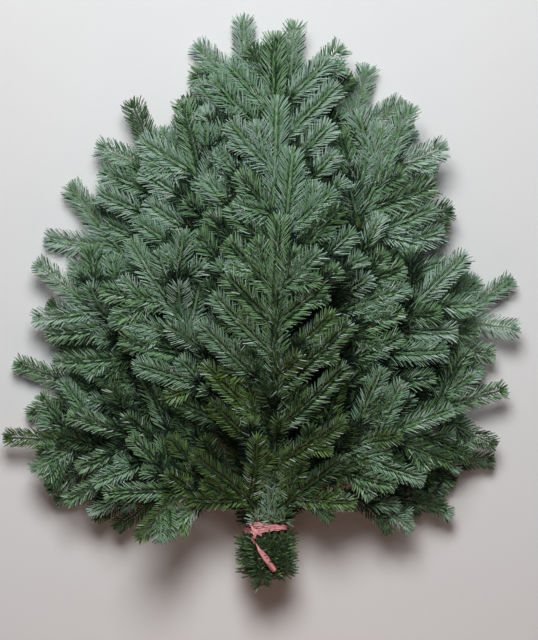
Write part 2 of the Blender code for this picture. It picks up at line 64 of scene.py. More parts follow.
# The growth rule of the solids: the tie
TIE_HEIGHT = 0.064
TIE_RADIUS = 0.0043  # of a stem where it is tied
STEM_GAP = 0.0005
ROW_GAP = 0.0009
STRAIGHT = 0.015  # how far a stem runs straight on both sides of the tie
ROW_SEATS = (7, 7, 6, 5, 2)
ROW_SHIFT = (0, 0, 0, 0, 0.0080)
BUTT_LONGEST = 0.070
BUTT_SHORTEST = 0.046
BUTT_SPLAY = 0.10  # how far the longest butts spread, over their distance from the middle
BUTT_RADIUS = 0.0045
MASS_RADIUS = 0.0030  # of a stem where its mass of needles begins
STEM_SIDES = 6
STEM_BENDS = 3
MEETING_GAP = 0.0004  # between a stem and its mass of needles

# The growth rule of the solids: the boughs of each row, from the back, by name, direction and reach
BOUGHS = (
    (("heel_left", -83, 0.286), ("hip_left", -57, 0.402), ("flank_high_left", -30, 0.530),
     ("top_left", -2.6, 0.690), ("shoulder_right", 12.5, 0.636), ("flank_right", 45, 0.470),
     ("foot_right", 74, 0.318)),
    (("foot_left", -71, 0.370), ("flank_left", -41, 0.470), ("shoulder_left", -17.5, 0.600),
     ("top_right", 3.2, 0.680), ("flank_high_right", 24, 0.540), ("hip_right", 60, 0.370),
     ("heel_right", 84, 0.240)),
    (("middle_hip_left", -60, 0.300), ("middle_shoulder_left", -11, 0.580), ("middle_top", 1, 0.660),
     ("middle_shoulder_right", 18.8, 0.594), ("middle_flank_right", 36, 0.450),
     ("skirt_right", 80, 0.175)),
    (("skirt_left", -77, 0.215), ("front_left", -25, 0.420), ("front_top", 1.5, 0.570),
     ("front_right", 20, 0.440), ("front_low_right", 57, 0.290)),
    (("crest_back", 4.0, 0.500), ("crest", 2.4, 0.410)),
)
BACK_ROWS, FRONT_ROW, CREST_ROW = 2, 3, 4  # how many lie at the back, and the numbers of the last two
PLACES = [(row, place) for row in range(len(BOUGHS)) for place in range(len(BOUGHS[row]))]
ROW_CREST = (0.018, 0.044, 0.080, 0.112, 0.136)  # height of the boughs' backs
ROW_TIP = (0.020, 0.040, 0.070, 0.100, 0.130)  # height of their tips
ROW_BARE = (0.084, 0.076, 0.060, 0.050, 0.034)  # least length of bare stem
ROW_FOLIAGE = (0.300, 0.310, 0.330, 0.345, 0.370)  # longest mass of needles
CREST_LIFT = 0.030  # how much higher the frontmost bough lies
OUTWARD_BEND = 1.24  # direction at the tip of a bough, over its direction as a whole
BEND_START = 0.30
BEND_END = 0.36
BEND_LEAST = 0.022
LEAVE_LEVEL = 0.8
ROLL = math.radians(5)
SPRIGS = (  # name, row, place, and both ends, from the middle of the tie at the height of the seat
    ("sprig_left", 4, -2, (-0.0058, -0.0775, 0.0), (-0.092, 0.098, 0.040)),
    ("sprig_right", 4, 2.25, (0.0286, -0.0610, 0.0010), (0.098, 0.092, 0.040)),
)
SPRIG_RADIUS = 0.0052
SPRIG_FORK = 0.020
SPRIG_OVERLAP = 0.004
SPRIG_LEAVE = 0.020
SPRIG_ARRIVE = 0.050
SPRIG_STEPS = 9

# The growth rule of the solids: the side twigs
BLADE_NEEDLE = 0.024
APEX_SHARE = 0.55  # how far a blade reaches past the end of its twig, in needles
TWIG_DROP = 0.0007  # how far side twigs lie under their bough's own plane
TERMINAL = 0.084  # from the tip of a bough to its first side twigs
ROOT_ROOM = 0.012
NODE_SPACING = 0.047
NODE_JITTER = 0.34
TWIG_ANGLE = math.radians(50)
TWIG_TURN = math.radians(-9)
TWIG_TILT = 7
TWIG_SHORTEST = 0.080
TWIG_LONGEST = 0.120
TWIG_GROWTH = 0.30  # how much longer a twig is for each metre further from the tip
TWIG_JITTER = 0.14
LEADER_BENDS = 12
# The ways that the rule tries for a twig: lift and turn in degrees, and a share of its length
TRIES = ((0, 0, 1), (9, 0, 1), (-9, 0, 1), (16, 8, 0.9), (-16, 8, 0.9), (20, -8, 0.75), (-20, -8, 0.75),
         (8, 14, 0.6), (-8, 14, 0.6))
SEED = 4107
TWIG_SEEDS = 300
SPRIG_SEEDS = 700
BUTT_SEEDS = 900
SEED_LIMIT = 100003
ROW_NUMBERS = 10  # a bough's number is this times its row, and its place
FOUND_WITHIN = 0.0004  # a twig of the solids ends no further than this from where the rule puts it

# Finer shoots, which the solids leave out. Their seeds come first: where they start, and the steps between
FINE_SEEDS = 5000
SPRIG_FINE_SEEDS = 20000
BOUGH_SEED_STEP = 1000
TWIG_SEED_STEP = 20
PAIR_SEED_STEP = 7
FINE_SEEDS_FROM = 9
INNER_SEEDS_FROM = 700
STEM_SEEDS = (0, 50)  # of the needles on a stem under the tie and over it
SPRIG_STEM_SEEDS = (80, 90)
FINE_PLACES = (0.24, 0.44)  # shares of a side twig where a pair of finer shoots grows
FINE_SHORTEST = 0.030
FINE_LONGEST = 0.046
FINE_ANGLE = math.radians(44)
FINE_TURN = math.radians(-14)
FINE_CHANCE = 0.36
FINE_SCATTER = 0.07  # how far up its twig a finer shoot may be moved, and the first of a pair besides
FINE_LEAD = 0.04
FINE_TAPER = 0.3  # how much shorter the upper pair is
INNER_SPACING = 0.047  # between the short inner shoots of a bough
INNER_START = 0.65
INNER_LOWEST = 0.06  # no inner shoot grows nearer to the root of a mass of needles
INNER_LENGTH = 0.052
INNER_SHORTEST = 0.75
INNER_AIM = (0.72, 0.42, 0.36)  # ahead, aside and up
INNER_WOBBLE = 0.35
INNER_CHANCE = (0.40, 0.55, 0.90, 1.00, 0.55)  # row by row
INNER_ALL = 0.17  # every inner shoot grows up to this height over the tie
COVER_SAMPLES = (0.05, 0.25, 0.45, 0.65, 0.85, 1.0)
COVER_REACH = 0.0145  # a shoot covers another where it passes no further to the side
COVER_DEPTH = 0.010
COVER_PAST_TIP = 0.008
BUTT_FROM = 0.02  # where the needles of a bough's butt begin, clear of the cut
BUTT_TO = 0.08  # where the needles under the tie end, in the straight part of a stem
OLD_FROM = 0.74  # where the needles begin again over the tie, in the straight part of a stem
SPRIG_STRAIGHT = 0.86  # share of a sprig's stem over the tie that counts as straight
BUTT_STEPS = 6
OLD_STEPS = 14
SPRIG_OLD_STEPS = 5

# Radii of the shoots' wood at the root and at the tip
LEADER_RADII = (0.0027, 0.0011)
SIDE_RADII = (0.0016, 0.0008)
FINE_RADII = (0.0010, 0.0007)
INNER_RADII = (0.0011, 0.0008)

# The tape
TAPE_THICK = 0.0008
TAPE_GAP = 0.0003
TAPE_ROWS = 15  # points across a turn of the tape, and across a loose length
STRAND_ROWS = 9
STRAND = ((-0.0185, -0.0135), (-0.009, -0.026), (0.0015, -0.043), (0.0120, -0.0575))
STRAND_RISE = 0.0071
STRAND_LIFT = 0.0032  # how much higher the folded strand lies than the flat one of the solids

# The photograph: its size, where the middle of the tie is in it, and its scale
PHOTO_SIZE = (538, 640)
PHOTO_TIE = (266, 527)
PHOTO_SCALE = 0.00136


# Paths

def unit(vectors):
    return vectors / np.linalg.norm(vectors, axis=-1, keepdims=True)


def bearing(degrees):
    """The level direction at this angle, clockwise from straight up the tree."""
    angle = math.radians(degrees)
    return np.array((math.sin(angle), math.cos(angle), 0.0))


def turned(vector, axis, angle):
    """The vector turned about the axis, by the right-hand rule."""
    axis = unit(axis)
    return (vector * math.cos(angle) + np.cross(axis, vector) * math.sin(angle)
            + axis * (axis @ vector) * (1 - math.cos(angle)))


class Path:
    """A line through 3-D points, read at shares of its length, with the direction that faces up."""

    LOOK = 0.02  # share ahead and behind over which a heading is measured

    def __init__(self, points, up=UP):
        self.points = np.asarray(points, float)
        steps = np.linalg.norm(np.diff(self.points, axis=0), axis=1)
        self.length = steps.sum()
        self.shares = np.concatenate([[0], np.cumsum(steps)]) / self.length
        self.up = np.asarray(up, float)

    def at(self, shares):
        return np.stack([np.interp(shares, self.shares, self.points[:, axis]) for axis in range(3)], axis=-1)

    def frames(self, shares):
        """Points, headings, sides to the right and ways up at these shares, as rows."""
        shares = np.atleast_1d(np.asarray(shares, float))
        ahead, behind = np.minimum(1, shares + self.LOOK), np.maximum(0, shares - self.LOOK)
        headings = unit(self.at(ahead) - self.at(behind))
        sides = unit(np.cross(headings, self.up))
        return self.at(shares), headings, sides, np.cross(sides, headings)

    def frame(self, share):
        return [rows[0] for rows in self.frames(share)]

    def part(self, start, end, steps):
        return Path(self.at(np.linspace(start, end, steps)), self.up)

    def moved(self, shift):
        return Path(self.points + shift, self.up)


def bezier(corners, steps=25):
    a, b, c, d = (np.asarray(corner, float) for corner in corners)
    t = np.linspace(0, 1, steps)[:, None]
    return (1 - t) ** 3 * a + 3 * t * (1 - t) ** 2 * b + 3 * t * t * (1 - t) * c + t ** 3 * d


def swept(start, heading, up, turn, length, steps=4):
    """A path that sets off along the heading and turns steadily about the way up."""
    points = [start]
    for step in range(steps - 1):
        ahead = turned(heading, up, turn * (step + 0.5) / (steps - 1))
        points.append(points[-1] + ahead * length / (steps - 1))
    return Path(points, up)


# The growth rule, as the solids follow it

def bough_number(row, place):
    """The number that gives a bough seeds of its own."""
    return ROW_NUMBERS * row + place


def seat(row, place):
    """Where a stem stands in the stack at the tie."""
    step = 2 * TIE_RADIUS * math.cos(math.pi / STEM_SIDES) + STEM_GAP
    across = step * (place - (ROW_SEATS[row] - 1) / 2)
    height = (2 * TIE_RADIUS + ROW_GAP) * (row - (len(ROW_SEATS) - 1) / 2)
    return np.array((across + ROW_SHIFT[row], 0.0, TIE_HEIGHT + height))


def bough_line(row, place):
    """The whole line of a bough from the tie to its tip."""
    _, direction, reach = BOUGHS[row][place]
    start = seat(row, place) + FORWARD * STRAIGHT
    lift = CREST_LIFT if (row, place) == (len(BOUGHS) - 1, 1) else 0.0
    tip = bearing(direction) * reach + UP * (ROW_TIP[row] + lift)
    ahead = max(0.0, math.cos(math.radians(direction)))
    leave = start + FORWARD * (reach * BEND_START * ahead + BEND_LEAST)
    arrive = tip - bearing(direction * OUTWARD_BEND) * reach * BEND_END
    arrive[2] = ROW_CREST[row] + lift
    leave[2] = LEAVE_LEVEL * start[2] + (1 - LEAVE_LEVEL) * arrive[2]
    return Path(bezier((start, leave, arrive, tip)))


def bare_share(row, line):
    """The share of a bough that is bare stem."""
    return max(ROW_BARE[row], line.length - ROW_FOLIAGE[row]) / line.length


def stem_path(row, place):
    """A stem from its cut end through the tie to where its mass of needles begins."""
    rng = np.random.RandomState(SEED + BUTT_SEEDS + bough_number(row, place))
    line = bough_line(row, place)
    tied = seat(row, place)
    length = rng.uniform(BUTT_SHORTEST, BUTT_LONGEST)
    butt = tied * (1 + BUTT_SPLAY * length / BUTT_LONGEST, 1, 1) - FORWARD * length
    upper = line.part(0, bare_share(row, line), 4 * STEM_BENDS + 1)
    return Path([butt, tied - FORWARD * STRAIGHT] + list(upper.points))


def leader_path(row, place):
    """The line of a bough through its mass of needles."""
    rng = np.random.RandomState(SEED + bough_number(row, place))
    line = bough_line(row, place)
    axis = line.part(bare_share(row, line) + MEETING_GAP / line.length, 1, LEADER_BENDS)
    axis.up = turned(UP, axis.frame(0.5)[1], ROLL * (2 * rng.random_sample() - 1))
    return axis


def twig_length(distance, rng):
    """A side twig is longer the further it stands from its bough's tip."""
    length = min(TWIG_LONGEST, TWIG_SHORTEST + TWIG_GROWTH * max(0.0, distance - TERMINAL))
    return length * (1 + TWIG_JITTER * (2 * rng.random_sample() - 1))


def side_twig(axis, share, hand, tilt, length, attempt):
    """The path of one side twig of a bough, in one of the ways that are tried."""
    lift, turn, scale = attempt
    point, heading, _, up = axis.frame(share)
    up = turned(up, heading, math.radians(tilt))
    outward = turned(heading, up, -hand * (TWIG_ANGLE + math.radians(turn)))
    hinge = unit(np.cross(outward, up))
    outward = turned(outward, hinge, math.radians(lift))
    return swept(point, outward, turned(up, hinge, math.radians(lift)), -hand * TWIG_TURN, length * scale)


def apex(path, drop):
    """The furthest point of a twig's blade."""
    point, heading, _, _ = path.frame(1)
    return point + heading * BLADE_NEEDLE * APEX_SHARE - path.up * drop


@functools.cache
def shift_to_frame():
    """From the tie, where the rule starts, to the origin of the packed model: the top tip is in both."""
    top = max(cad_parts["top_left_foliage"].data.vertices, key=lambda vertex: vertex.co.y)
    return np.array(top.co) - apex(leader_path(0, 3), 0)


def corners_of(node):
    """A search tree of the solid's corners."""
    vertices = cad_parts[node].data.vertices
    tree = KDTree(len(vertices))
    for vertex in vertices:
        tree.insert(vertex.co, vertex.index)
    tree.balance()
    return tree


def side_twigs(axis, node, rng):
    """The side twigs that the solid has, from its tip down, as (path, hand)."""
    corners = corners_of(node)
    found = []
    for number in range(round((axis.length - TERMINAL) / NODE_SPACING)):
        for hand in HANDS:
            distance = TERMINAL + NODE_SPACING * (number + NODE_JITTER * rng.random_sample())
            tilt = rng.uniform(-TWIG_TILT, TWIG_TILT)
            length = twig_length(distance, rng)
            if distance > axis.length - ROOT_ROOM:
                continue
            for attempt in TRIES:
                path = side_twig(axis, 1 - distance / axis.length, hand, tilt, length, attempt)
                _, _, gap = corners.find(Vector(apex(path, TWIG_DROP) + shift_to_frame()))
                if gap < FOUND_WITHIN:
                    found.append((path, hand))
                    break
    return found


# Shoots: the solids' twigs and the finer ones between them

class Shoot:
    """One shoot that carries needles."""

    def __init__(self, path, kind, row, radii, seed):
        self.path = path.moved(shift_to_frame())
        self.kind = kind  # leader, side, fine, old or butt
        self.row = row
        self.root, self.tip = radii  # of the wood at both ends
        self.seed = seed
        self.on_stem = kind in ("butt", "old")  # needles that still clothe a bough's own stem
        self.covered = np.zeros(len(COVER_SAMPLES))  # where others cover it from above and from below

    def radii(self, shares):
        return self.root + (self.tip - self.root) * shares

    def draws(self, factor=1, shift=0):
        """A row of random numbers of the shoot's own, another one for each factor and shift."""
        return np.random.RandomState((self.seed * factor + shift) % SEED_LIMIT)


def finer(path, hand_first, row, rng, seed):
    """Short shoots on the lower half of a side twig."""
    shoots = []
    for number, share in enumerate(FINE_PLACES):
        for hand in HANDS:
            chance, length = rng.random_sample(), rng.uniform(FINE_SHORTEST, FINE_LONGEST)
            spot = share + FINE_SCATTER * rng.random_sample() + (FINE_LEAD if hand == hand_first else 0)
            if chance > FINE_CHANCE:
                continue
            point, heading, _, up = path.frame(spot)
            outward = turned(heading, up, -hand * FINE_ANGLE)
            line = swept(point, outward, up, -hand * FINE_TURN, length * (1 - FINE_TAPER * number))
            shoots.append(Shoot(line, "fine", row, FINE_RADII, seed + PAIR_SEED_STEP * number + hand))
    return shoots


def inner(axis, row, rng, seed):
    """Short steep shoots on the upper side of a bough, between its side twigs."""
    shoots = []
    ahead, aside, rise = INNER_AIM
    for number in range(int((axis.length - TERMINAL) / INNER_SPACING)):
        hand = HANDS[number % 2]
        chance, wobble = rng.random_sample(), rng.uniform(-INNER_WOBBLE, INNER_WOBBLE)
        share = 1 - (TERMINAL + INNER_SPACING * (number + INNER_START)) / axis.length
        if share < INNER_LOWEST:
            continue
        point, heading, side, up = axis.frame(share)
        if chance > INNER_CHANCE[row] and point[1] > INNER_ALL:
            continue
        outward = unit(heading * ahead + side * hand * (aside + wobble) + up * rise)
        line = swept(point, outward, up, 0.0, INNER_LENGTH * rng.uniform(INNER_SHORTEST, 1.0))
        shoots.append(Shoot(line, "fine", row, INNER_RADII, seed + number))
    return shoots


def grown(axis, row, seed, fine_seed, node):
    """Every shoot of one bough's mass of needles, each with a seed of its own."""
    shoots = [Shoot(axis, "leader", row, LEADER_RADII, seed)]
    rng = np.random.RandomState(fine_seed)
    for number, (path, hand) in enumerate(side_twigs(axis, node, np.random.RandomState(seed))):
        twig_seed = fine_seed + TWIG_SEED_STEP * number
        shoots.append(Shoot(path, "side", row, SIDE_RADII, twig_seed))
        shoots += finer(path, hand, row, rng, twig_seed + FINE_SEEDS_FROM)
    return shoots + inner(axis, row, rng, fine_seed + INNER_SEEDS_FROM)


def clothed(stem, row, straight, butt_from, old_steps, radii, seeds):
    """The needles on a stem itself, as two shoots: those under the tie and those over it."""
    tie = stem.shares[1]
    butt = stem.part(butt_from, tie + straight * BUTT_TO, BUTT_STEPS)
    old = stem.part(tie + straight * OLD_FROM, 1, old_steps)
    return [Shoot(butt, "butt", row, (radii[0], TIE_RADIUS), seeds[0]),
            Shoot(old, "old", row, (TIE_RADIUS, radii[1]), seeds[1])]


@functools.cache
def bundle():
    """Every shoot by the name of its bough or sprig."""
    shoots = {}
    for row, place in PLACES:
        name = BOUGHS[row][place][0]
        number = bough_number(row, place)
        shoots[name] = grown(leader_path(row, place), row, SEED + TWIG_SEEDS + number,
                             SEED + FINE_SEEDS + BOUGH_SEED_STEP * number, name + "_foliage")
        stem = stem_path(row, place)
        straight = stem.shares[2] - stem.shares[1]
        shoots[name] += clothed(stem, row, straight, BUTT_FROM, OLD_STEPS,
                                (BUTT_RADIUS, MASS_RADIUS), [number + more for more in STEM_SEEDS])
    for number, (name, row, *_) in enumerate(SPRIGS):
        stem, upper = sprig_paths(number)
        shoots[name] = grown(upper, row, SEED + SPRIG_SEEDS + number,
                             SEED + SPRIG_FINE_SEEDS + BOUGH_SEED_STEP * number, name)
        straight = (1 - stem.shares[1]) * SPRIG_STRAIGHT
        shoots[name] += clothed(stem, row, straight, 0, SPRIG_OLD_STEPS,
                                (SPRIG_RADIUS, TIE_RADIUS), [number + more for more in SPRIG_STEM_SEEDS])
    mark_covered([shoot for group in shoots.values() for shoot in group])
    return shoots


def mark_covered(shoots):
    """Marks where along each shoot others cover it, both from above and from below."""
    samples = [shoot.path.at(share) for shoot in shoots for share in COVER_SAMPLES]
    samples = np.array(samples).reshape(len(shoots), len(COVER_SAMPLES), 3)
    for shoot, points in zip(shoots, samples):  # the needles at a tip reach past it
        points[-1] += shoot.path.frame(1)[1] * COVER_PAST_TIP
    flat = samples.reshape(-1, 3)
    for number, shoot in enumerate(shoots):
        near = np.linalg.norm(flat[None, :, :2] - samples[number][:, None, :2], axis=2) < COVER_REACH
        rises = flat[None, :, 2] - samples[number][:, None, 2]
        above = (near & (rises > COVER_DEPTH)).any(axis=1)
        below = (near & (rises < -COVER_DEPTH)).any(axis=1)
        shoot.covered = (above & below).astype(float)


def sprig_paths(number):
    """The stem of a sprig from its cut end to its fork, and the line of its foliage."""
    _, row, place, butt, tip = SPRIGS[number]
    tied = seat(row, place)
    end, tip = tied * (0, 0, 1) + butt, tied * (0, 0, 1) + tip
    fork = tied + FORWARD * SPRIG_FORK
    arrive = tip - unit(tip - fork) * SPRIG_ARRIVE
    upper = bezier((fork - FORWARD * SPRIG_OVERLAP, fork + FORWARD * SPRIG_LEAVE, arrive, tip), SPRIG_STEPS)
    return Path([end, tied - FORWARD * STRAIGHT, fork]), Path(upper)


# Meshes

def mesh_object(name, vertices, faces, materials, indices=None, smooth=False):
    """An object from rows of corners and rows of three or four corner numbers."""
    vertices, faces = np.asarray(vertices, np.float32), np.asarray(faces, np.int32)
    mesh = bpy.data.meshes.new(name)
    mesh.vertices.add(len(vertices))
    mesh.vertices.foreach_set("co", vertices.ravel())
    mesh.loops.add(faces.size)
    mesh.loops.foreach_set("vertex_index", faces.ravel())
    mesh.polygons.add(len(faces))
    mesh.polygons.foreach_set("loop_start", np.arange(0, faces.size, faces.shape[1], dtype=np.int32))
    for material in materials:
        mesh.materials.append(material)
    if indices is not None:
        mesh.polygons.foreach_set("material_index", np.asarray(indices, np.int32))
    mesh.update(calc_edges=True)
    if mesh.validate():
        raise RuntimeError(f"{name} has faces that don't fit together")
    if smooth:
        mesh.shade_smooth()
    else:
        mesh.shade_flat()
    body = bpy.data.objects.new(name, mesh)
    bpy.context.scene.collection.objects.link(body)
    return body


def joined(parts):
    """Several (vertices, faces) as one."""
    vertices, faces, count = [], [], 0
    for part_vertices, part_faces in parts:
        vertices.append(np.asarray(part_vertices, float))
        faces.append(np.asarray(part_faces) + count)
        count += len(part_vertices)
    return np.concatenate(vertices), np.concatenate(faces)


def ring_faces(rings, around, closed=False):
    """The triangles between rings of corners, and between the last and the first if it is closed."""
    low = np.arange(rings if closed else rings - 1)[:, None] * around
    high = (low + around) % (rings * around)
    here, following = np.arange(around), (np.arange(around) + 1) % around
    quads = np.stack([low + here, low + following, high + following, high + here], axis=-1).reshape(-1, 4)
    return np.concatenate([quads[:, (0, 1, 2)], quads[:, (0, 2, 3)]])


GRAIN_ROUND = 1.6  # how often the bark's relief changes round a limb


def limb(path, shares, radii, sides, relief=0.0, seed=0, grain=0.0):
    """A closed round limb with a ring at each share. Relief is the depth of its bark over its radius."""
    points, _, across, lifts = path.frames(shares)
    angles = 2 * math.pi * np.arange(sides) / sides
    radii = np.asarray(radii, float)[:, None] * np.ones(sides)
    if relief:
        for ring, share in enumerate(shares):
            for corner, angle in enumerate(angles):
                along = share * path.length * grain + seed
                place = Vector((math.cos(angle) * GRAIN_ROUND, math.sin(angle) * GRAIN_ROUND, along))
                radii[ring, corner] *= 1 + relief * noise.noise(place)
    rings = (points[:, None] + radii[:, :, None] * (across[:, None] * np.cos(angles)[None, :, None]
                                                    + lifts[:, None] * np.sin(angles)[None, :, None]))
    first = len(shares) * sides
    last_ring = first - sides
    edges = [(corner, (corner + 1) % sides) for corner in range(sides)]
    caps = [(first, b, a) for a, b in edges] + [(first + 1, a + last_ring, b + last_ring) for a, b in edges]
    vertices = np.concatenate([rings.reshape(-1, 3), points[:1], points[-1:]])
    return vertices, np.concatenate([ring_faces(len(shares), sides), caps])[:, ::-1]


# Needles. Each is a closed blade of eight faces: a pointed foot, a keeled middle and a blunt tip
NEEDLE_TOPS = ((0, 2, 1), (1, 2, 5), (1, 5, 4))
NEEDLE_UNDERSIDES = ((0, 1, 3), (0, 3, 2), (1, 4, 3), (3, 4, 5), (3, 5, 2))
NEEDLE_CORNERS = 6
NEEDLE_FACES = np.array(NEEDLE_TOPS + NEEDLE_UNDERSIDES)
NEEDLE_MIDDLE = 0.40  # share of a needle from its foot to its widest place
NEEDLE_TIP_WIDTH = 0.55
NEEDLE_KEEL = 0.40

# Ranks of needles on each side of a shoot: degrees over its plane, length, and how far they lean out
RANKS = ((-20, 0.95, 1.04), (9, 1.00, 1.00), (46, 0.90, 0.90))
CROWN_RANK = (80, 0.60, 0.44)  # the short needles that lie along the top of a shoot
OLD_RANKS = ((-70, 0.80, 0.8), (-25, 0.95, 1.1), (8, 1.00, 1.0), (40, 0.95, 0.9), (68, 0.85, 0.55),
             (84, 0.8, 0.32))
LOWEST_RANK, CROWNING_RANK, ROSETTE_RANK = 0, 3, 4
RANK_STEP = 0.03  # how far each rank is set off from the one below, in spacings
SHARE_JITTER = 0.10  # how far a needle strays along its shoot, in spacings
SHARE_RANGE = (0.012, 0.995)  # no needle but those round the tip stands nearer to an end of its shoot
ROSETTE_LEANS = (8, 22, 35, 47, 57)  # degrees that the needles round a tip lean out
ROSETTE_TURN = 137.5  # degrees from one to the next, round the tip
ROSETTE_START = 6  # most radians from the side of the shoot to the first of them
ROSETTE_EACH = 4  # at each lean
ROSETTE_JITTER = 0.05
ROSETTE_DEPTH = 0.002  # how far below the tip they stand
ROSETTE_LIFT = (0.75, 0.10)  # flatter than it is wide, and a little higher than the tip
ROSETTE_LENGTHS = (0.52, 0.34)  # least, and how much more for those that lean out
DENSITY = {"leader": 1.0, "side": 1.0, "fine": 1.0, "old": 0.70, "butt": 0.50}
HEM_VIGOUR = 0.64  # length of the needles at the hem, over that of the full-grown ones
VIGOUR_JITTER = 0.05
HEIGHT_AT = 0.7  # share along a shoot where its height is read
TALL = 0.40  # from this height over the tie up the needles are full-grown
FRONT_OLD_DENSITY = 1.1  # the old shoots of the front rows are in full view over the tie
SHADED = 0.9  # share of a shoot that others cover from both sides
SHADED_DENSITY = 0.55  # needles thin out there
BUTT_LEAN = math.radians(118)
OLD_LEAN = math.radians(96)
LEAN_CHANGE = math.radians(44)  # how much less the last needles of a stem lean out than its first
OLD_LEAN_WITHIN = 0.025
LEAN_JITTER = 0.045
OLD_LEAN_JITTER = 0.22
RISE_JITTER = 4  # degrees
OLD_RISE_JITTER = 15
SUNK = 0.7  # how far out in the wood a needle's foot stands, over the wood's radius
BUTT_LENGTHS = (0.56, 0.26)  # at the cut end, and how much more at the tie
OLD_LENGTH = 0.92
ROOT_LENGTHS = (0.78, 0.22)  # the oldest needles of a shoot are the shortest
ROOT_WITHIN = 0.25  # share of a shoot over which they reach their full length
TIP_FROM = 0.8  # from here on the needles of a shoot get shorter again
TIP_WITHIN = 0.2
TIP_LOSS = 0.10
SIZE_JITTER = (0.88, 1.08)
FINE_NEEDLE = 0.62  # longest needle of a finer shoot, over the shoot's length
CURL_JITTER = (0.6, 1.4)
CURL_RISE = 0.35  # how far a needle bends up, over how far it bends forward
TIRED = 0.4  # share of their curl and of their rolling that the needles on a bough's own stem keep
TWIST_JITTER = 0.30
ROLL_TWIST = 1.9  # radians that a needle is turned which shows its underside
WIDTH_JITTER = (0.85, 1.15)
TINY = 1e-6  # keeps a needle's facing from being nothing where it points straight up
FLOOR_CLEARANCE = 0.0006
FLOOR_STEP = 0.0002  # keeps the corners of a needle apart where it is bent flat at the floor


def needle_rows(shoot, sizes, rng):
    """Shares along the shoot, hands, degrees over its plane, lengths, leans and ranks of its needles."""
    front = shoot.kind == "old" and shoot.row >= FRONT_ROW
    front_butt = shoot.kind == "butt" and shoot.row == CREST_ROW
    spacing = sizes.spacing / (FRONT_OLD_DENSITY if front or front_butt else DENSITY[shoot.kind])
    if shoot.row < BACK_ROWS and shoot.kind != "butt":
        spacing *= sizes.back_thinning
    if shoot.covered.mean() > SHADED and not front and shoot.kind != "butt":
        spacing /= SHADED_DENSITY
    count = max(1, int(shoot.path.length / spacing))
    ranks = OLD_RANKS if shoot.on_stem else RANKS + (CROWN_RANK,)
    rows = []
    for number, (angle, length, lean) in enumerate(ranks):
        for hand in HANDS:
            offset = (number * RANK_STEP + (hand > 0) * 0.5) % 1
            shares = (np.arange(count) + offset + rng.uniform(-SHARE_JITTER, SHARE_JITTER, count)) / count
            values = (hand, angle, length, lean, number)
            rows.append(np.stack([shares, *(np.full(count, value, float) for value in values)]))
    return np.concatenate(rows, axis=1)


def height_over_tie(shoot):
    """How far up the tree a shoot stands."""
    return shoot.path.at(HEIGHT_AT)[1] - shift_to_frame()[1]


def vigour(shoot, rng):
    """How long a shoot's needles grow: longest near the top of the tree."""
    grown_up = 1.0 if shoot.kind == "butt" else min(1.0, max(0.0, height_over_tie(shoot) / TALL))
    return HEM_VIGOUR + (1 - HEM_VIGOUR) * grown_up + rng.uniform(-VIGOUR_JITTER, VIGOUR_JITTER)


def leans_of(shoot, shares, leans, sizes, rng):
    """The angle between the shoot and each of its needles."""
    if shoot.kind == "butt":
        lean = BUTT_LEAN - LEAN_CHANGE * shares
    elif shoot.kind == "old":
        lean = OLD_LEAN - LEAN_CHANGE * np.clip(shares * shoot.path.length / OLD_LEAN_WITHIN, 0, 1)
    else:
        lean = sizes.lean_at_root + (sizes.lean_at_tip - sizes.lean_at_root) * shares
    return lean * leans + rng.normal(0, OLD_LEAN_JITTER if shoot.on_stem else LEAN_JITTER, len(shares))


def lengths_of(shoot, shares, lengths):
    """The length of each needle over that of the shoot's longest."""
    if shoot.kind == "butt":
        grown_up = BUTT_LENGTHS[0] + BUTT_LENGTHS[1] * shares
    elif shoot.kind == "old":
        grown_up = OLD_LENGTH
    else:
        grown_up = ROOT_LENGTHS[0] + ROOT_LENGTHS[1] * np.clip(shares / ROOT_WITHIN, 0, 1)
    return lengths * grown_up * (1 - TIP_LOSS * np.clip((shares - TIP_FROM) / TIP_WITHIN, 0, 1))


def rosette(shoot, rng):
    """The needles round a shoot's tip, as feet, aims, lengths, headings, ways up, ranks and shares."""
    end, heading, side, up = shoot.path.frame(1)
    count = len(ROSETTE_LEANS) * ROSETTE_EACH
    turns = np.radians(ROSETTE_TURN) * np.arange(count) + rng.uniform(0, ROSETTE_START)
    tilts = np.radians(np.repeat(ROSETTE_LEANS, ROSETTE_EACH)) + rng.normal(0, ROSETTE_JITTER, count)
    flat, lift = ROSETTE_LIFT
    outward = side * np.cos(turns)[:, None] + up * (flat * np.sin(turns) + lift)[:, None]
    least, more = ROSETTE_LENGTHS
    return (end - heading * ROSETTE_DEPTH * rng.random_sample(count)[:, None],
            heading * np.cos(tilts)[:, None] + outward * np.sin(tilts)[:, None],
            least + more * np.sin(tilts), np.repeat(heading[None], count, axis=0),
            np.repeat(up[None], count, axis=0), np.full(count, ROSETTE_RANK), np.ones(count))


def needles_of(shoot, sizes):
    """Corners of every needle of a shoot, as (needles, 6, 3), and the rank and share of each."""
    rng = shoot.draws()
    shares, hands, angles, lengths, leans, ranks = needle_rows(shoot, sizes, rng)
    shares = np.clip(shares, *SHARE_RANGE)
    points, headings, across, lifts = shoot.path.frames(shares)
    lean = leans_of(shoot, shares, leans, sizes, rng)
    jitter = OLD_RISE_JITTER if shoot.on_stem else RISE_JITTER
    rise = np.radians(angles + rng.normal(0, jitter, len(shares)))
    outward = across * (hands * np.cos(rise))[:, None] + lifts * np.sin(rise)[:, None]
    aims = headings * np.cos(lean)[:, None] + outward * np.sin(lean)[:, None]
    feet = points + outward * shoot.radii(shares)[:, None] * SUNK
    rows = [feet, aims, lengths_of(shoot, shares, lengths), headings, lifts, ranks, shares]
    if not shoot.on_stem:
        rows = [np.concatenate(pair) for pair in zip(rows, rosette(shoot, rng))]
    return blades(shoot, *rows[:5], sizes, rng), rows[5].astype(int), rows[6]


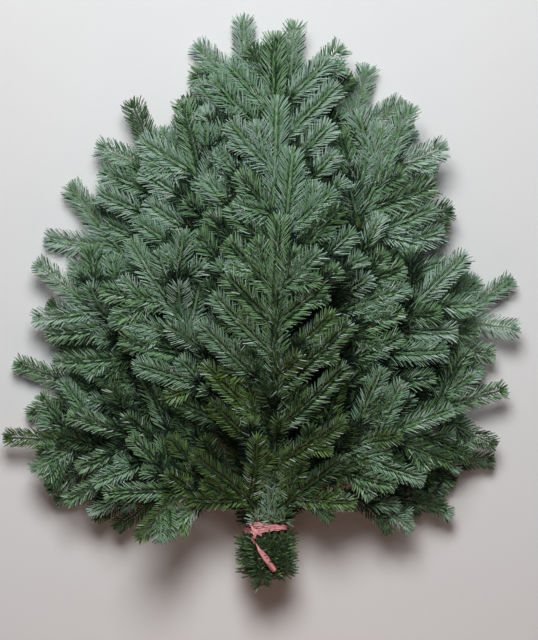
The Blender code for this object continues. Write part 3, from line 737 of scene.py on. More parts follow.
def blades(shoot, feet, aims, lengths, headings, lifts, sizes, rng):
    """Corners of a shoot's needles, each with its own length, bend, twist and width."""
    count = len(lengths)
    aims = unit(aims)
    spent = TIRED if shoot.on_stem else 1.0
    size = sizes.length * vigour(shoot, rng) * lengths * rng.uniform(*SIZE_JITTER, count)
    if shoot.kind == "fine":
        size = np.minimum(size, FINE_NEEDLE * shoot.path.length)
    curl = sizes.curl * rng.uniform(*CURL_JITTER, count)[:, None] * spent
    bent = unit(aims + headings * curl + lifts * curl * CURL_RISE)
    twist = rng.normal(0, TWIST_JITTER, count)
    rolled = rng.random_sample(count) < sizes.rolled * spent
    turn = np.where(rng.random_sample(count) < 0.5, ROLL_TWIST, -ROLL_TWIST)
    twist = np.where(rolled, twist + turn, twist)[:, None]
    facing = unit(lifts - aims * (lifts * aims).sum(axis=1, keepdims=True) + TINY)
    aside = np.cross(aims, facing)
    wide = aside * np.cos(twist) - facing * np.sin(twist)
    facing = facing * np.cos(twist) + aside * np.sin(twist)
    width = (sizes.width * rng.uniform(*WIDTH_JITTER, count))[:, None]
    middle = feet + aims * (size * NEEDLE_MIDDLE)[:, None]
    tip = middle + bent * (size * (1 - NEEDLE_MIDDLE))[:, None]
    keel = middle - facing * width * NEEDLE_KEEL
    corners = [feet, middle - wide * width / 2, middle + wide * width / 2, keel,
               tip - wide * width * NEEDLE_TIP_WIDTH / 2, tip + wide * width * NEEDLE_TIP_WIDTH / 2]
    corners = np.stack(corners, axis=1)
    corners[:, :, 2] = np.maximum(corners[:, :, 2], FLOOR_CLEARANCE + FLOOR_STEP * np.arange(NEEDLE_CORNERS))
    return corners


# Tones: which of the greens a spray has
TONES = ("frosted", "blue_green", "green", "deep_green", "yellow_green", "olive", "shade")
FROSTED, BLUE, GREEN, DEEP, YELLOW, OLIVE, SHADE = range(len(TONES))
NEIGHBOURS = {FROSTED: (FROSTED, BLUE), BLUE: (FROSTED, GREEN), GREEN: (BLUE, DEEP), DEEP: (GREEN, OLIVE),
              YELLOW: (GREEN, OLIVE), OLIVE: (DEEP, YELLOW)}
# The next darker green, which paints shade at the foot of every needle and along the crown of a shoot
SHADIER = {FROSTED: GREEN, BLUE: GREEN, GREEN: DEEP, DEEP: DEEP, YELLOW: OLIVE, OLIVE: DEEP, SHADE: SHADE}
WARM_MIDDLE = (0.008, 0.110)  # the warm inside of the bundle, from the tie, with older needles and painted shade
WARM_REACH = (0.125, 0.145)
WARM_AT = 0.6  # share along a shoot where its warmth is read
WARM_JITTER = 0.12
HEIGHT_JITTER = 0.03
UNDER_ONE = 0.999  # the shares of the greens add up to one, and no draw may lie past their sum

# Shares of the sprays that have each green: those on the stems have their own, and the others take
# the first entry that fits, by warmth, by height over the tie or by row
FRONT_OLD_TONES = {FROSTED: 0.22, BLUE: 0.20, GREEN: 0.33, DEEP: 0.25}
STEM_TONES = {DEEP: 0.85, OLIVE: 0.15}
# In the warm inside the greens are yellower and darker: partly the older needles' own colour, partly painted
# shade
WARM_TONES = ((0.60, {OLIVE: 0.50, YELLOW: 0.30, DEEP: 0.20}),
              (0.34, {YELLOW: 0.38, GREEN: 0.36, DEEP: 0.26}),
              (0.16, {GREEN: 0.58, BLUE: 0.32, DEEP: 0.10}))
# Painted shade: low on the tree, towards the hem, the greens are darker
HEM_SHADE_TONES = ((0.125, {FROSTED: 0.06, BLUE: 0.20, GREEN: 0.22, DEEP: 0.38, OLIVE: 0.14}),
             (0.230, {FROSTED: 0.12, BLUE: 0.26, GREEN: 0.32, DEEP: 0.30}))
# Row by row the greens even out the light: the middle rows, which the crest shades, take the palest ones as
# painted light, and the crest darker ones as painted shade
BACK_TONES = {FROSTED: 0.28, BLUE: 0.42, GREEN: 0.18, DEEP: 0.12}
MIDDLE_TONES = {FROSTED: 0.42, BLUE: 0.40, GREEN: 0.18}
ROW_TONES = (BACK_TONES, BACK_TONES, MIDDLE_TONES, MIDDLE_TONES, {FROSTED: 0.18, BLUE: 0.42, GREEN: 0.40})

# Single needles that differ from their spray: strays of a neighbouring green, and painted shade on the
# lowest, the crowning and the covered ones
STRAY_SHARE = 0.22  # these take a neighbouring green
LOW_SHADE = 0.75  # share of the lowest needles, and of those that others cover, that take the shade green as painted full shade; the others take the deep green, also painted shade
# Painted shade where others cover a needle: the share that takes the shade green, the rest taking the deep
# green
COVERED_SHADE = 0.66
MIDRIB_SHADE_SHARE = 0.7  # share of the crowning needles that take the next darker green: painted shade along the midrib
# the painted shade begins where a needle's cover, with its jitter, passes this
COVERED_FROM = 0.67
COVER_JITTER = 0.15


def warmth(point):
    """How far into the warm inside of the bundle, with its older needles and painted shade, a point lies,
    from 0 to 1.
    """
    away = (point - shift_to_frame())[:2] - np.array(WARM_MIDDLE)
    return math.exp(-((away / np.array(WARM_REACH)) ** 2).sum())


def in_front(shoot):
    """Whether the shoot is an old one of the frontmost row, in full view over the tie."""
    return shoot.kind == "old" and shoot.row == CREST_ROW


def tone_shares(shoot, warm, height):
    """How likely each green is for a spray at this warmth and height."""
    if in_front(shoot):
        return FRONT_OLD_TONES
    if shoot.on_stem:
        return STEM_TONES
    for least, shares in WARM_TONES:
        if warm > least:
            return shares
    for most, shares in HEM_SHADE_TONES:
        if height < most:
            return shares
    return ROW_TONES[shoot.row]


def tone_of(shoot, rng):
    """The number of a spray's green."""
    warm = warmth(shoot.path.at(WARM_AT)) + rng.normal(0, WARM_JITTER)
    draw = rng.random_sample()
    height = height_over_tie(shoot) + rng.normal(0, HEIGHT_JITTER)
    shares = tone_shares(shoot, warm, height)
    return list(shares)[int(np.searchsorted(np.cumsum(list(shares.values())), draw * UNDER_ONE))]


def tones_of(shoot, ranks, shares):
    """The number of each needle's green: the spray's own, and darker ones painted as shade where others
    cover it, on its lowest rank and along its crown.
    """
    rng = shoot.draws(7, 3)
    own = tone_of(shoot, rng)
    count = len(ranks)
    tones = np.full(count, own)
    strays = rng.random_sample(count) < STRAY_SHARE
    tones[strays] = rng.choice(NEIGHBOURS[own], strays.sum())
    if shoot.kind == "butt" or in_front(shoot):
        return tones
    # Painted shade: the lowest rank lies under the others and takes the shade or the deep green
    lowest = (ranks == LOWEST_RANK) & (shoot.kind != "old")
    tones[lowest] = np.where(rng.random_sample(lowest.sum()) < LOW_SHADE, SHADE, DEEP)
    # Painted shade along the midrib: most crowning needles take the next darker green
    tones[(ranks == CROWNING_RANK) & (rng.random_sample(count) < MIDRIB_SHADE_SHARE)] = SHADIER[own]
    # Painted shade where others cover the shoot: the shade or the deep green
    cover = np.interp(shares, COVER_SAMPLES, shoot.covered) + rng.normal(0, COVER_JITTER, count)
    covered = cover > COVERED_FROM
    tones[covered] = np.where(rng.random_sample(covered.sum()) < COVERED_SHADE, SHADE, DEEP)
    return tones


# Materials

def shader_group(name, inputs, outputs):
    """An empty node group with these sockets, and its input and output nodes."""
    group = bpy.data.node_groups.new(name, "ShaderNodeTree")
    kinds = {"colour": "NodeSocketColor", "value": "NodeSocketFloat"}
    for label, kind, default in inputs:
        socket = group.interface.new_socket(name=label, in_out="INPUT", socket_type=kinds[kind])
        socket.default_value = default
    for label, kind in outputs:
        group.interface.new_socket(name=label, in_out="OUTPUT", socket_type=kinds[kind])
    return group, group.nodes.new("NodeGroupInput"), group.nodes.new("NodeGroupOutput")


def linked(tree, kind, links, **settings):
    """A new node of this kind with its settings, and sockets linked into its inputs by name or number."""
    made = tree.nodes.new(kind)
    for name, value in settings.items():
        setattr(made, name, value)
    for label, socket in links.items():
        tree.links.new(socket, made.inputs[label])
    return made


MOTTLE_RANGE = (0.78, 1.22)  # from here to there the two noises together count as 0 to 1


@functools.cache
def mottle_group():
    """Cloudy change of colour over the surface, with a finer grain: for needles, bark, wood and tape."""
    inputs = (("Colour", "colour", (0.1, 0.2, 0.1, 1)), ("Second Colour", "colour", (0.2, 0.3, 0.2, 1)),
              ("Cloud Scale", "value", 40.0), ("Grain Scale", "value", 900.0), ("Amount", "value", 0.6),
              ("Smooth", "value", 0.4), ("Rough", "value", 0.6))
    outputs = (("Colour", "colour"), ("Roughness", "value"), ("Height", "value"))
    group, inside, outside = shader_group("Mottle", inputs, outputs)
    place = group.nodes.new("ShaderNodeTexCoord").outputs["Object"]
    cloud, grain = [linked(group, "ShaderNodeTexNoise", {"Vector": place, "Scale": inside.outputs[label]})
                    for label in ("Cloud Scale", "Grain Scale")]
    cloud.inputs["Detail"].default_value = 3
    grain.inputs["Detail"].default_value = 2
    both = linked(group, "ShaderNodeMath", {0: cloud.outputs["Fac"], 1: grain.outputs["Fac"]},
                  operation="ADD")
    wave = linked(group, "ShaderNodeMapRange", {"Value": both.outputs["Value"]})
    wave.inputs["From Min"].default_value, wave.inputs["From Max"].default_value = MOTTLE_RANGE
    wave = wave.outputs["Result"]
    share = linked(group, "ShaderNodeMath", {0: wave, 1: inside.outputs["Amount"]}, operation="MULTIPLY")
    # Inputs 6 and 7 of a mix node are the two colours that it mixes
    colour = linked(group, "ShaderNodeMix", {0: share.outputs["Value"], 6: inside.outputs["Colour"],
                                             7: inside.outputs["Second Colour"]}, data_type="RGBA")
    rough = linked(group, "ShaderNodeMapRange", {"Value": wave, "To Min": inside.outputs["Smooth"],
                                                 "To Max": inside.outputs["Rough"]})
    group.links.new(colour.outputs[2], outside.inputs["Colour"])
    group.links.new(rough.outputs["Result"], outside.inputs["Roughness"])
    group.links.new(grain.outputs["Fac"], outside.inputs["Height"])
    return group


def mottled(name, colour, second, looks, **extras):
    """A material with the mottle group before its shader, these looks, and other inputs of the shader."""
    made = bpy.data.materials.new(name)
    made.use_nodes = True
    tree = made.node_tree
    shader = tree.nodes["Principled BSDF"]
    mottle = tree.nodes.new("ShaderNodeGroup")
    mottle.node_tree = mottle_group()
    cloud, grain, amount, smooth, rough, bump, depth = looks
    values = {"Colour": (*colour, 1), "Second Colour": (*second, 1), "Cloud Scale": cloud,
              "Grain Scale": grain, "Amount": amount, "Smooth": smooth, "Rough": rough}
    for label, value in values.items():
        mottle.inputs[label].default_value = value
    tree.links.new(mottle.outputs["Colour"], shader.inputs["Base Color"])
    tree.links.new(mottle.outputs["Roughness"], shader.inputs["Roughness"])
    relief = linked(tree, "ShaderNodeBump", {"Height": mottle.outputs["Height"]})
    relief.inputs["Strength"].default_value = bump
    relief.inputs["Distance"].default_value = depth
    tree.links.new(relief.outputs["Normal"], shader.inputs["Normal"])
    for label, value in extras.items():
        shader.inputs[label.replace("_", " ")].default_value = value
    return made


# Looks: scales of the clouds and of the grain, their amount, the least and the most roughness, and the
# strength and the depth of the relief
NEEDLE_LOOKS = (160, 2400, 0.7, 0.40, 0.58, 0.15, 0.0002)
UNDERSIDE_LOOKS = (160, 2400, 0.8, 0.50, 0.70, 0.15, 0.0002)
# Materials, by the setting of their colour: the name, the second colour, which is a setting or a share of
# the first, and the looks
SURFACES = {
    "underside": ("underside_pale", 0.62, UNDERSIDE_LOOKS),
    "underside_dull": ("underside_dull", 0.62, UNDERSIDE_LOOKS),
    "bark": ("bough_bark", "bark_light", (130, 1500, 0.9, 0.70, 0.92, 0.55, 0.0006)),
    "young_bark": ("young_bark", 0.55, (220, 1800, 0.8, 0.55, 0.80, 0.4, 0.0004)),
    "bud": ("bud_resin", 1.7, (500, 2600, 0.7, 0.30, 0.55, 0.3, 0.0002)),
    "cut_wood": ("cut_wood", 0.6, (320, 3000, 0.8, 0.70, 0.90, 0.5, 0.0003)),
    "tape": ("tie_tape_pink", "tape_worn", (95, 1300, 0.85, 0.36, 0.60, 0.35, 0.0003)),
    "tape_fold": ("tie_tape_fold", 0.6, (140, 1300, 0.8, 0.50, 0.70, 0.35, 0.0003)),
    "floor_colour": ("pale_table", 0.985, (5, 260, 0.8, 0.62, 0.72, 0.05, 0.0004)),
}
EXTRAS = {"bud": {"Coat_Weight": 0.25}, "tape": {"Subsurface_Weight": 0.15, "Subsurface_Scale": 0.002}}
WAX_COLOUR = np.array((0.50, 0.63, 0.54))
WAX = 0.45  # share of wax in the second colour of young needles
SHADED_WAX = 0.10
SHINE = 0.50
SHADED_SHINE = 0.12  # old needles have lost their wax; the darkest greens also stand for painted shade, to which only dim light comes
SHEEN = 0.10
SHEEN_ROUGHNESS = 0.35
SHEEN_TINT = (0.80, 0.92, 0.86, 1)


@functools.cache
def surface(setting, group="fir_colours"):
    """The material whose colour is this setting of the group."""
    settings = getattr(bpy.context.scene, group)
    name, second, looks = SURFACES[setting]
    colour = tuple(getattr(settings, setting))
    if isinstance(second, str):
        second = tuple(getattr(settings, second))
    else:
        second = tuple(second * part for part in colour)
    return mottled(name, colour, second, looks, **EXTRAS.get(setting, {}))


@functools.cache
def needle_materials():
    """One material for each green, the painted shade among them, and two for the undersides, the pale one
    and the dull one.
    """
    made = []
    for tone in TONES:
        colour = np.array(getattr(bpy.context.scene.fir_colours, tone))
        shaded = tone in ("shade", "deep_green", "olive")
        wax = SHADED_WAX if shaded else WAX
        made.append(mottled(f"needle_{tone}", colour, colour * (1 - wax) + WAX_COLOUR * wax, NEEDLE_LOOKS,
                            Specular_IOR_Level=SHADED_SHINE if shaded else SHINE,
                            Sheen_Weight=0.0 if shaded else SHEEN, Sheen_Roughness=SHEEN_ROUGHNESS,
                            Sheen_Tint=SHEEN_TINT))
    return made + [surface("underside"), surface("underside_dull")]


# Settings

def metres(label, description, default):
    return FloatProperty(name=label, description=description, default=default, min=0.0, precision=4,
                         subtype="DISTANCE", unit="LENGTH")


def number_of(label, description, default, **rest):
    return FloatProperty(name=label, description=description, default=default, **rest)


def colour_of(label, description, default):
    return FloatVectorProperty(name=label, description=description, default=default, min=0.0, max=1.0,
                               subtype="COLOR", size=3)


class FirNeedleSizes(bpy.types.PropertyGroup):
    """Sizes of the needles."""
    length: metres("Length", "Length of a full-grown needle", 0.0245)
    width: metres("Width", "Width of a needle at its widest place", 0.0019)
    spacing: metres("Spacing", "Between two needles of one rank", 0.0034)
    back_thinning: number_of("Back thinning", "How much wider the needles at the back are spaced", 1.15,
                             min=1.0)
    lean_at_root: number_of("Lean at root", "Angle between a shoot and its lowest needles",
                            math.radians(72), subtype="ANGLE")
    lean_at_tip: number_of("Lean at tip", "Angle between a shoot and its uppermost needles",
                           math.radians(56), subtype="ANGLE")
    curl: number_of("Curl", "How far a needle's outer half bends forward and up", 0.44, min=0.0)
    rolled: number_of("Rolled", "Share of the needles that show their pale underside", 0.23,
                      min=0.0, max=1.0, subtype="FACTOR")


class FirWoodSizes(bpy.types.PropertyGroup):
    """Sizes of the bark's relief and the buds."""
    ring_spacing: metres("Ring spacing", "Between two rings of corners along a bough", 0.0040)
    sides: IntProperty(name="Sides", description="Corners round a bough", default=12, min=6)
    relief: number_of("Relief", "Depth of the bark's relief over a bough's radius", 0.16, min=0.0)
    bud_length: metres("Bud length", "Length of the bud at the end of a shoot", 0.0042)


class FirTapeSizes(bpy.types.PropertyGroup):
    """Sizes of the tie tape."""
    thickness: metres("Thickness", "Thickness of the tape with its folds pressed flat", 0.0005)
    crease: metres("Crease", "Height of the lengthwise creases", 0.0008)


class FirColours(bpy.types.PropertyGroup):
    """Colours of needles, wood and tape."""
    frosted: colour_of("Frosted", "Needles with most wax, at the outside", (0.348, 0.492, 0.402))
    blue_green: colour_of("Blue green", "Young needles", (0.212, 0.368, 0.248))
    green: colour_of("Green", "Full-grown needles", (0.158, 0.310, 0.120))
    # The deep green is partly a tone of some sprays and partly painted shade on the lowest, the covered and
    # the crowning needles and at the feet
    deep_green: colour_of("Deep green", "Shaded needles", (0.070, 0.130, 0.062))
    yellow_green: colour_of("Yellow green", "Inner needles", (0.150, 0.285, 0.056))
    olive: colour_of("Olive", "The oldest needles", (0.116, 0.192, 0.052))
    # Painted shade: the shade green goes to the needles that others cover and to most of the lowest rank
    shade: colour_of("Shade", "Sparse old needles deep inside the bundle", (0.013, 0.027, 0.018))
    underside: colour_of("Underside", "Pale bands under a needle", (0.640, 0.750, 0.680))
    # The dull underside goes with the deep green, olive and shade greens, so it is partly painted shade
    underside_dull: colour_of("Dull underside", "The same on old needles", (0.160, 0.230, 0.130))
    bark: colour_of("Bark", "Bark of the boughs", (0.068, 0.054, 0.038))
    bark_light: colour_of("Light bark", "Its lighter flakes", (0.140, 0.116, 0.085))
    young_bark: colour_of("Young bark", "Bark of the shoots", (0.120, 0.105, 0.050))
    bud: colour_of("Bud", "Resin on the buds", (0.110, 0.065, 0.035))
    cut_wood: colour_of("Cut wood", "Cut ends of the boughs", (0.300, 0.230, 0.130))
    tape: colour_of("Tape", "The tie tape", (0.930, 0.495, 0.510))
    tape_worn: colour_of("Worn tape", "The tape where it is stretched thin", (0.640, 0.230, 0.235))
    # The fold colour is painted shade along the tape's creases and at its edges
    tape_fold: colour_of("Tape fold", "Creases and edges of the tape", (0.430, 0.120, 0.125))


class FirStageSettings(bpy.types.PropertyGroup):
    """The floor, the lights and the camera."""
    floor_colour: colour_of("Floor", "Colour of the pale table", (0.800, 0.800, 0.805))
    floor_size: metres("Floor size", "Side of the floor", 6.0)
    camera_height: metres("Camera height", "Height of the camera over the floor", 3.2)
    key_power: number_of("Key light", "Power of the large soft light", 41.0, min=0.0, unit="POWER")
    warm_power: number_of("Warm light", "Power of the warm light at the side of the tie", 2.1, min=0.0,
                          unit="POWER")
    fill_strength: number_of("Fill light", "Strength of the light from all round", 0.062, min=0.0)


SETTINGS = (("fir_needles", FirNeedleSizes), ("fir_wood", FirWoodSizes), ("fir_tape", FirTapeSizes),
            ("fir_colours", FirColours), ("fir_stage", FirStageSettings))

# Pieces of needles, each for a few boughs, so that no piece grows too large
NEEDLE_GROUPS = (
    ("back_left", ("heel_left", "hip_left", "flank_high_left", "top_left")),
    ("back_right", ("shoulder_right", "flank_right", "foot_right", "heel_right")),
    ("second_left", ("foot_left", "flank_left", "shoulder_left")),
    ("second_right", ("top_right", "flank_high_right", "hip_right")),
    ("middle_left", ("middle_hip_left", "middle_shoulder_left", "middle_top")),
    ("middle_right", ("middle_shoulder_right", "middle_flank_right", "skirt_right")),
    ("front_left", ("skirt_left", "front_left", "front_top")),
    ("front_right", ("front_right", "front_low_right", "sprig_left", "sprig_right")),
    ("crest", ("crest_back", "crest")),
)


def node_of(name):
    """The solid that holds this bough's needles."""
    return name if name.startswith("sprig") else name + "_foliage"


def shoots_of(boughs):
    return [shoot for bough in boughs for shoot in bundle()[bough]]


def placed(piece, slot, *nodes):
    """Makes the piece ride on the bundle in place of these solids; the slot is not used."""
    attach(piece, "root")
    if nodes:
        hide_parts(*nodes)


def wooden(name, parts, setting, *nodes):
    """Makes one piece of wood from its parts, in this setting's material, in place of these solids."""
    placed(mesh_object(name, *joined(parts), [surface(setting)], smooth=True), "bark", *nodes)


# Operators

class FIR_OT_needles(bpy.types.Operator):
    """Clothe every shoot, stem and butt with needles"""
    bl_idname = "fir.needles"
    bl_label = "Needles"

    def execute(self, context):
        sizes = context.scene.fir_needles
        for group, boughs in NEEDLE_GROUPS:
            corners, tones = [], []
            for shoot in shoots_of(boughs):
                needles, ranks, shares = needles_of(shoot, sizes)
                corners.append(needles)
                tones.append(tones_of(shoot, ranks, shares))
            corners, tones = np.concatenate(corners), np.concatenate(tones)
            faces = NEEDLE_FACES[None] + NEEDLE_CORNERS * np.arange(len(corners))[:, None, None]
            # Painted shade: each needle takes the next darker green at its foot, and the darkest greens have
            # the dull underside
            under = np.where(np.isin(tones, (DEEP, OLIVE, SHADE)), len(TONES) + 1, len(TONES))
            foot = np.array([SHADIER[tone] for tone in range(len(TONES))])[tones]
            indices = np.stack([foot, tones, tones] + [under] * len(NEEDLE_UNDERSIDES), axis=1)
            piece = mesh_object("needles_" + group, corners.reshape(-1, 3), faces.reshape(-1, 3),
                                needle_materials(), indices.ravel())
            slot = "back_needles" if group.startswith(("back", "second")) else "front_needles"
            placed(piece, slot, *[node_of(bough) for bough in boughs])
        return {"FINISHED"}


SHOOT_RING = 0.011  # between two rings of corners along a shoot
SHOOT_SIDES = 6
SHOOT_RELIEF = 0.3
SHOOT_GRAIN = 240.0
SHOOT_GRAINS = 97  # how many different pieces of the grain the shoots have


def wood_of(shoot):
    """The thin wood of a shoot."""
    shares = np.linspace(0, 1, max(3, int(shoot.path.length / SHOOT_RING)))
    return limb(shoot.path, shares, shoot.radii(shares), SHOOT_SIDES, SHOOT_RELIEF,
                shoot.seed % SHOOT_GRAINS, SHOOT_GRAIN)


class FIR_OT_shoots(bpy.types.Operator):
    """Make the thin wood of every shoot"""
    bl_idname = "fir.shoots"
    bl_label = "Shoots"

    def execute(self, context):
        for group, boughs in NEEDLE_GROUPS:
            parts = [wood_of(shoot) for shoot in shoots_of(boughs) if not shoot.on_stem]
            wooden("shoots_" + group, parts, "young_bark")
        return {"FINISHED"}


BUD_TURNS = (0.0, 0.62, -0.62)  # how far aside the buds of a shoot point
FINE_BUD = 0.75
SIDE_BUD = 0.8
BUD_FOOT = 0.0006  # how deep a bud stands in the wood
BUD_SHARES = (0, 0.3, 0.72, 1.0)
BUD_RADII = np.array((0.14, 0.33, 0.28, 0.05))  # there, over the bud's length
BUD_SIDES = 5
BUD_ASIDE = (0.8, 1.1)
BUD_RISE = (-0.15, 0.2)
BUD_JITTER = (0.85, 1.15)


def buds_of(shoot, length):
    """The bud at the tip of a shoot, and one on each side of it where the shoot isn't a finer one."""
    rng = shoot.draws(5, 1)
    end, heading, side, up = shoot.path.frame(1)
    fine = shoot.kind == "fine"
    for turn in BUD_TURNS[:1 if fine else 3]:
        aim = unit(heading + side * turn * rng.uniform(*BUD_ASIDE) + up * rng.uniform(*BUD_RISE))
        size = length * (FINE_BUD if fine else 1.0) * (SIDE_BUD if turn else 1.0) * rng.uniform(*BUD_JITTER)
        line = Path([end - aim * BUD_FOOT, end + aim * size / 2, end + aim * size], up)
        yield limb(line, BUD_SHARES, size * BUD_RADII, BUD_SIDES)


class FIR_OT_buds(bpy.types.Operator):
    """Set buds at the end of every shoot"""
    bl_idname = "fir.buds"
    bl_label = "Buds"

    def execute(self, context):
        length = context.scene.fir_wood.bud_length
        parts = [bud for shoot in shoots_of(bundle()) if not shoot.on_stem for bud in buds_of(shoot, length)]
        wooden("buds", parts, "bud")
        return {"FINISHED"}


BARK_THIN = 0.93  # radius of the bark over the solid's, which leaves room for its relief
BARK_GRAIN = 260.0
BARK_STEP = 13  # between the pieces of the grain that two stems have
BARK_RINGS = 8  # at least, along a stem


def all_stems():
    """Each stem's node, path in the frame, and radii at some shares of its length."""
    for row, place in PLACES:
        stem = stem_path(row, place)
        knots = (0, stem.shares[1], stem.shares[2], 1)
        radii = (BUTT_RADIUS, TIE_RADIUS, TIE_RADIUS, MASS_RADIUS)
        yield BOUGHS[row][place][0] + "_stem", stem.moved(shift_to_frame()), knots, radii
    for number, sprig in enumerate(SPRIGS):
        stem, _ = sprig_paths(number)
        knots = (0, stem.shares[1], 1)
        yield sprig[0], stem.moved(shift_to_frame()), knots, (SPRIG_RADIUS, TIE_RADIUS, TIE_RADIUS)


class FIR_OT_stems(bpy.types.Operator):
    """Make the boughs' bark with its relief"""
    bl_idname = "fir.stems"
    bl_label = "Stems"

    def execute(self, context):
        wood = context.scene.fir_wood
        parts, nodes = [], []
        for number, (node, path, knots, radii) in enumerate(all_stems()):
            shares = np.linspace(0, 1, max(BARK_RINGS, int(path.length / wood.ring_spacing)))
            thickness = np.interp(shares, knots, radii) * BARK_THIN
            parts.append(limb(path, shares, thickness, wood.sides, wood.relief, BARK_STEP * number,
                              BARK_GRAIN))
            if node.endswith("_stem"):
                nodes.append(node)
        wooden("bough_bark", parts, "bark", *nodes)
        return {"FINISHED"}


CUT_FROM = 0.0005  # how far the cut wood stands out of the butt, and how deep it reaches
CUT_TO = 0.0008
CUT_SHARES = (0, 0.2, 0.6, 1)
CUT_RADII = np.array((0.55, 0.93, 1.0, 0.9))  # there, over its widest
CUT_WIDTH = 0.80
CUT_SIDES = 16
CUT_RELIEF = 0.05
CUT_PIECE = 3  # the piece of the grain that they all have
CUT_GRAIN = 400.0


class FIR_OT_cut_ends(bpy.types.Operator):
    """Make the pale cut face at the butt of each bough"""
    bl_idname = "fir.cut_ends"
    bl_label = "Cut ends"

    def execute(self, context):
        parts = []
        for _, path, _, radii in all_stems():
            end, heading, _, up = path.frame(0)
            line = Path([end - heading * CUT_FROM, end + heading * CUT_TO], up)
            parts.append(limb(line, CUT_SHARES, radii[0] * CUT_WIDTH * CUT_RADII, CUT_SIDES, CUT_RELIEF,
                              CUT_PIECE, CUT_GRAIN))
        wooden("cut_ends", parts, "cut_wood")
        return {"FINISHED"}


# The tape. The paces of its waves were chosen.

# The two turns: width and middle on the left, the same on the right, and where their waves begin
BAND = ((0.0105, 0.0056), (0.0055, 0.0012), 0.4)
WRAP = ((0.0090, -0.0052), (0.0048, 0.0016), 2.1)
TAPE_STEP = 0.0016
OUTLINE_CORNERS = 24  # round each stem of the stack, and at least round the whole of it
EDGE_WAVE = 0.0006
FOLDS_ACROSS = 1.35
FOLD_DRIFT = 0.35
FOLD_WAVES = ((0.8, 0.21, 1), (0.5, 0.53, 2))  # size, pace, and how often the turn's own phase counts
CREASES = ((0.36, 0.10, 0.13, 1), (0.70, 0.08, 0.19, 2))  # place across, and the wave that it follows
STRAND_STEPS = 46  # along the tape, and along the curve that it follows
STRAND_CURVE = 30
KNOT_CURVE = 20
STRAND_WIDTHS = (0.0034, 0.0060, 0.0084, 0.0086, 0.0078)
STRAND_TURNS = 0.45
STRAND_ARCH = 0.0012
KNOT_WIDTHS = (0.0030, 0.0046, 0.0036)
KNOT_TURNS = 0.5
KNOT_ARCH = 0.0022
KNOT_DROP = 0.0020  # how far below the strand the knot lies
KNOT_LOOPS = (  # the two short bends of the knot on the left, from its own height
    ((-0.0215, -0.0040, -0.0035), (-0.0160, -0.0020, 0.0022), (-0.0120, -0.0085, 0.0024),
     (-0.0185, -0.0135, 0.0016)),
    ((-0.0205, 0.0060, -0.0030), (-0.0165, -0.0010, 0.0030), (-0.0125, -0.0060, 0.0030),
     (-0.0060, -0.0100, 0.0008)),
)


def tape_outline(radius, step):
    """The way of a string round the whole stack at the tie, in even steps, as rows of (x, z)."""
    seats = [seat(row, place) for row, place in PLACES + [sprig[1:3] for sprig in SPRIGS]]
    angles = [2 * math.pi * k / OUTLINE_CORNERS for k in range(OUTLINE_CORNERS)]
    corners = [(middle[0] + radius * math.cos(angle), middle[2] + radius * math.sin(angle))
               for middle in seats for angle in angles]
    loop = np.array([corners[k] for k in convex_hull_2d(corners)])
    loop = np.concatenate([loop, loop[:1]])
    lengths = np.concatenate([[0], np.cumsum(np.linalg.norm(np.diff(loop, axis=0), axis=1))])
    spots = np.linspace(0, lengths[-1], max(OUTLINE_CORNERS, int(lengths[-1] / step)), endpoint=False)
    return np.stack([np.interp(spots, lengths, loop[:, axis]) for axis in (0, 1)], axis=1)


def ribbon(lines, thickness, closed):
    """A thin closed solid from rows of points: lines (along, across, 3) of its outer face."""
    lines = np.asarray(lines, float)
    count, across = lines.shape[:2]
    ahead = np.roll(lines, -1, axis=0) - np.roll(lines, 1, axis=0)
    if not closed:
        ahead[0], ahead[-1] = lines[1] - lines[0], lines[-1] - lines[-2]
    aside = np.gradient(lines, axis=1)
    normal = unit(np.cross(aside, ahead))
    both = np.concatenate([lines, (lines - normal * thickness)[:, ::-1]], axis=1)
    around = 2 * across
    faces = ring_faces(count, around, closed)
    if not closed:
        ends = []
        for ring, flip in ((0, 1), (count - 1, -1)):
            start = ring * around
            for k in range(across - 1):
                quad = (start + k, start + around - 1 - k, start + around - 2 - k, start + k + 1)[::flip]
                ends += [quad[:3], (quad[0], quad[2], quad[3])]
        faces = np.concatenate([faces, ends])
    return both.reshape(-1, 3), faces


def winding(radius, turn, tape):
    """One turn of folded tape round the stack, and which of its faces are folds."""
    left, right, phase = turn
    outline = tape_outline(radius, TAPE_STEP)
    centre = outline.mean(axis=0)
    low, high = outline[:, 0].min(), outline[:, 0].max()
    rows = np.linspace(-1, 1, TAPE_ROWS)
    lines = []
    for number, (x, z) in enumerate(outline):
        share = (x - low) / (high - low)
        share = share if z > centre[1] else 0.5 + 0.5 * (share - 0.5)
        width, middle = (start + (end - start) * share for start, end in zip(left, right))
        out = unit(np.array((x, z)) - centre)
        drift = sum(size * math.sin(number * pace + times * phase) for size, pace, times in FOLD_WAVES)
        line = []
        for row in rows:
            fold = abs(math.sin(math.pi * (FOLDS_ACROSS * row + FOLD_DRIFT * drift)))
            height = tape.thickness + tape.crease * fold * (0.7 + 0.3 * math.sin(number * 0.4 + 5 * row))
            edge = EDGE_WAVE * math.sin(number * 0.9 + 3 * row + phase) * abs(row)
            line.append((x + out[0] * height, middle + row * width / 2 + edge, z + out[1] * height))
        lines.append(line)
    vertices, faces = ribbon(np.array(lines), tape.thickness, True)
    return vertices + shift_to_frame(), faces, folds(faces, phase, TAPE_ROWS, CREASES)


def folds(faces, phase, rows, creases=()):
    """Marks the faces at both edges of a tape and along its creases, which lie in their own shade."""
    across = faces.min(axis=1) % (2 * rows)
    across = np.where(across < rows, across, 2 * rows - 1 - across)
    along = faces.min(axis=1) // (2 * rows)
    marks = (across < 1) | (across > rows - 3)
    for place, size, pace, times in creases:
        marks |= across == np.round(rows * (place + size * np.sin(along * pace + times * phase)))
    return marks.astype(int)


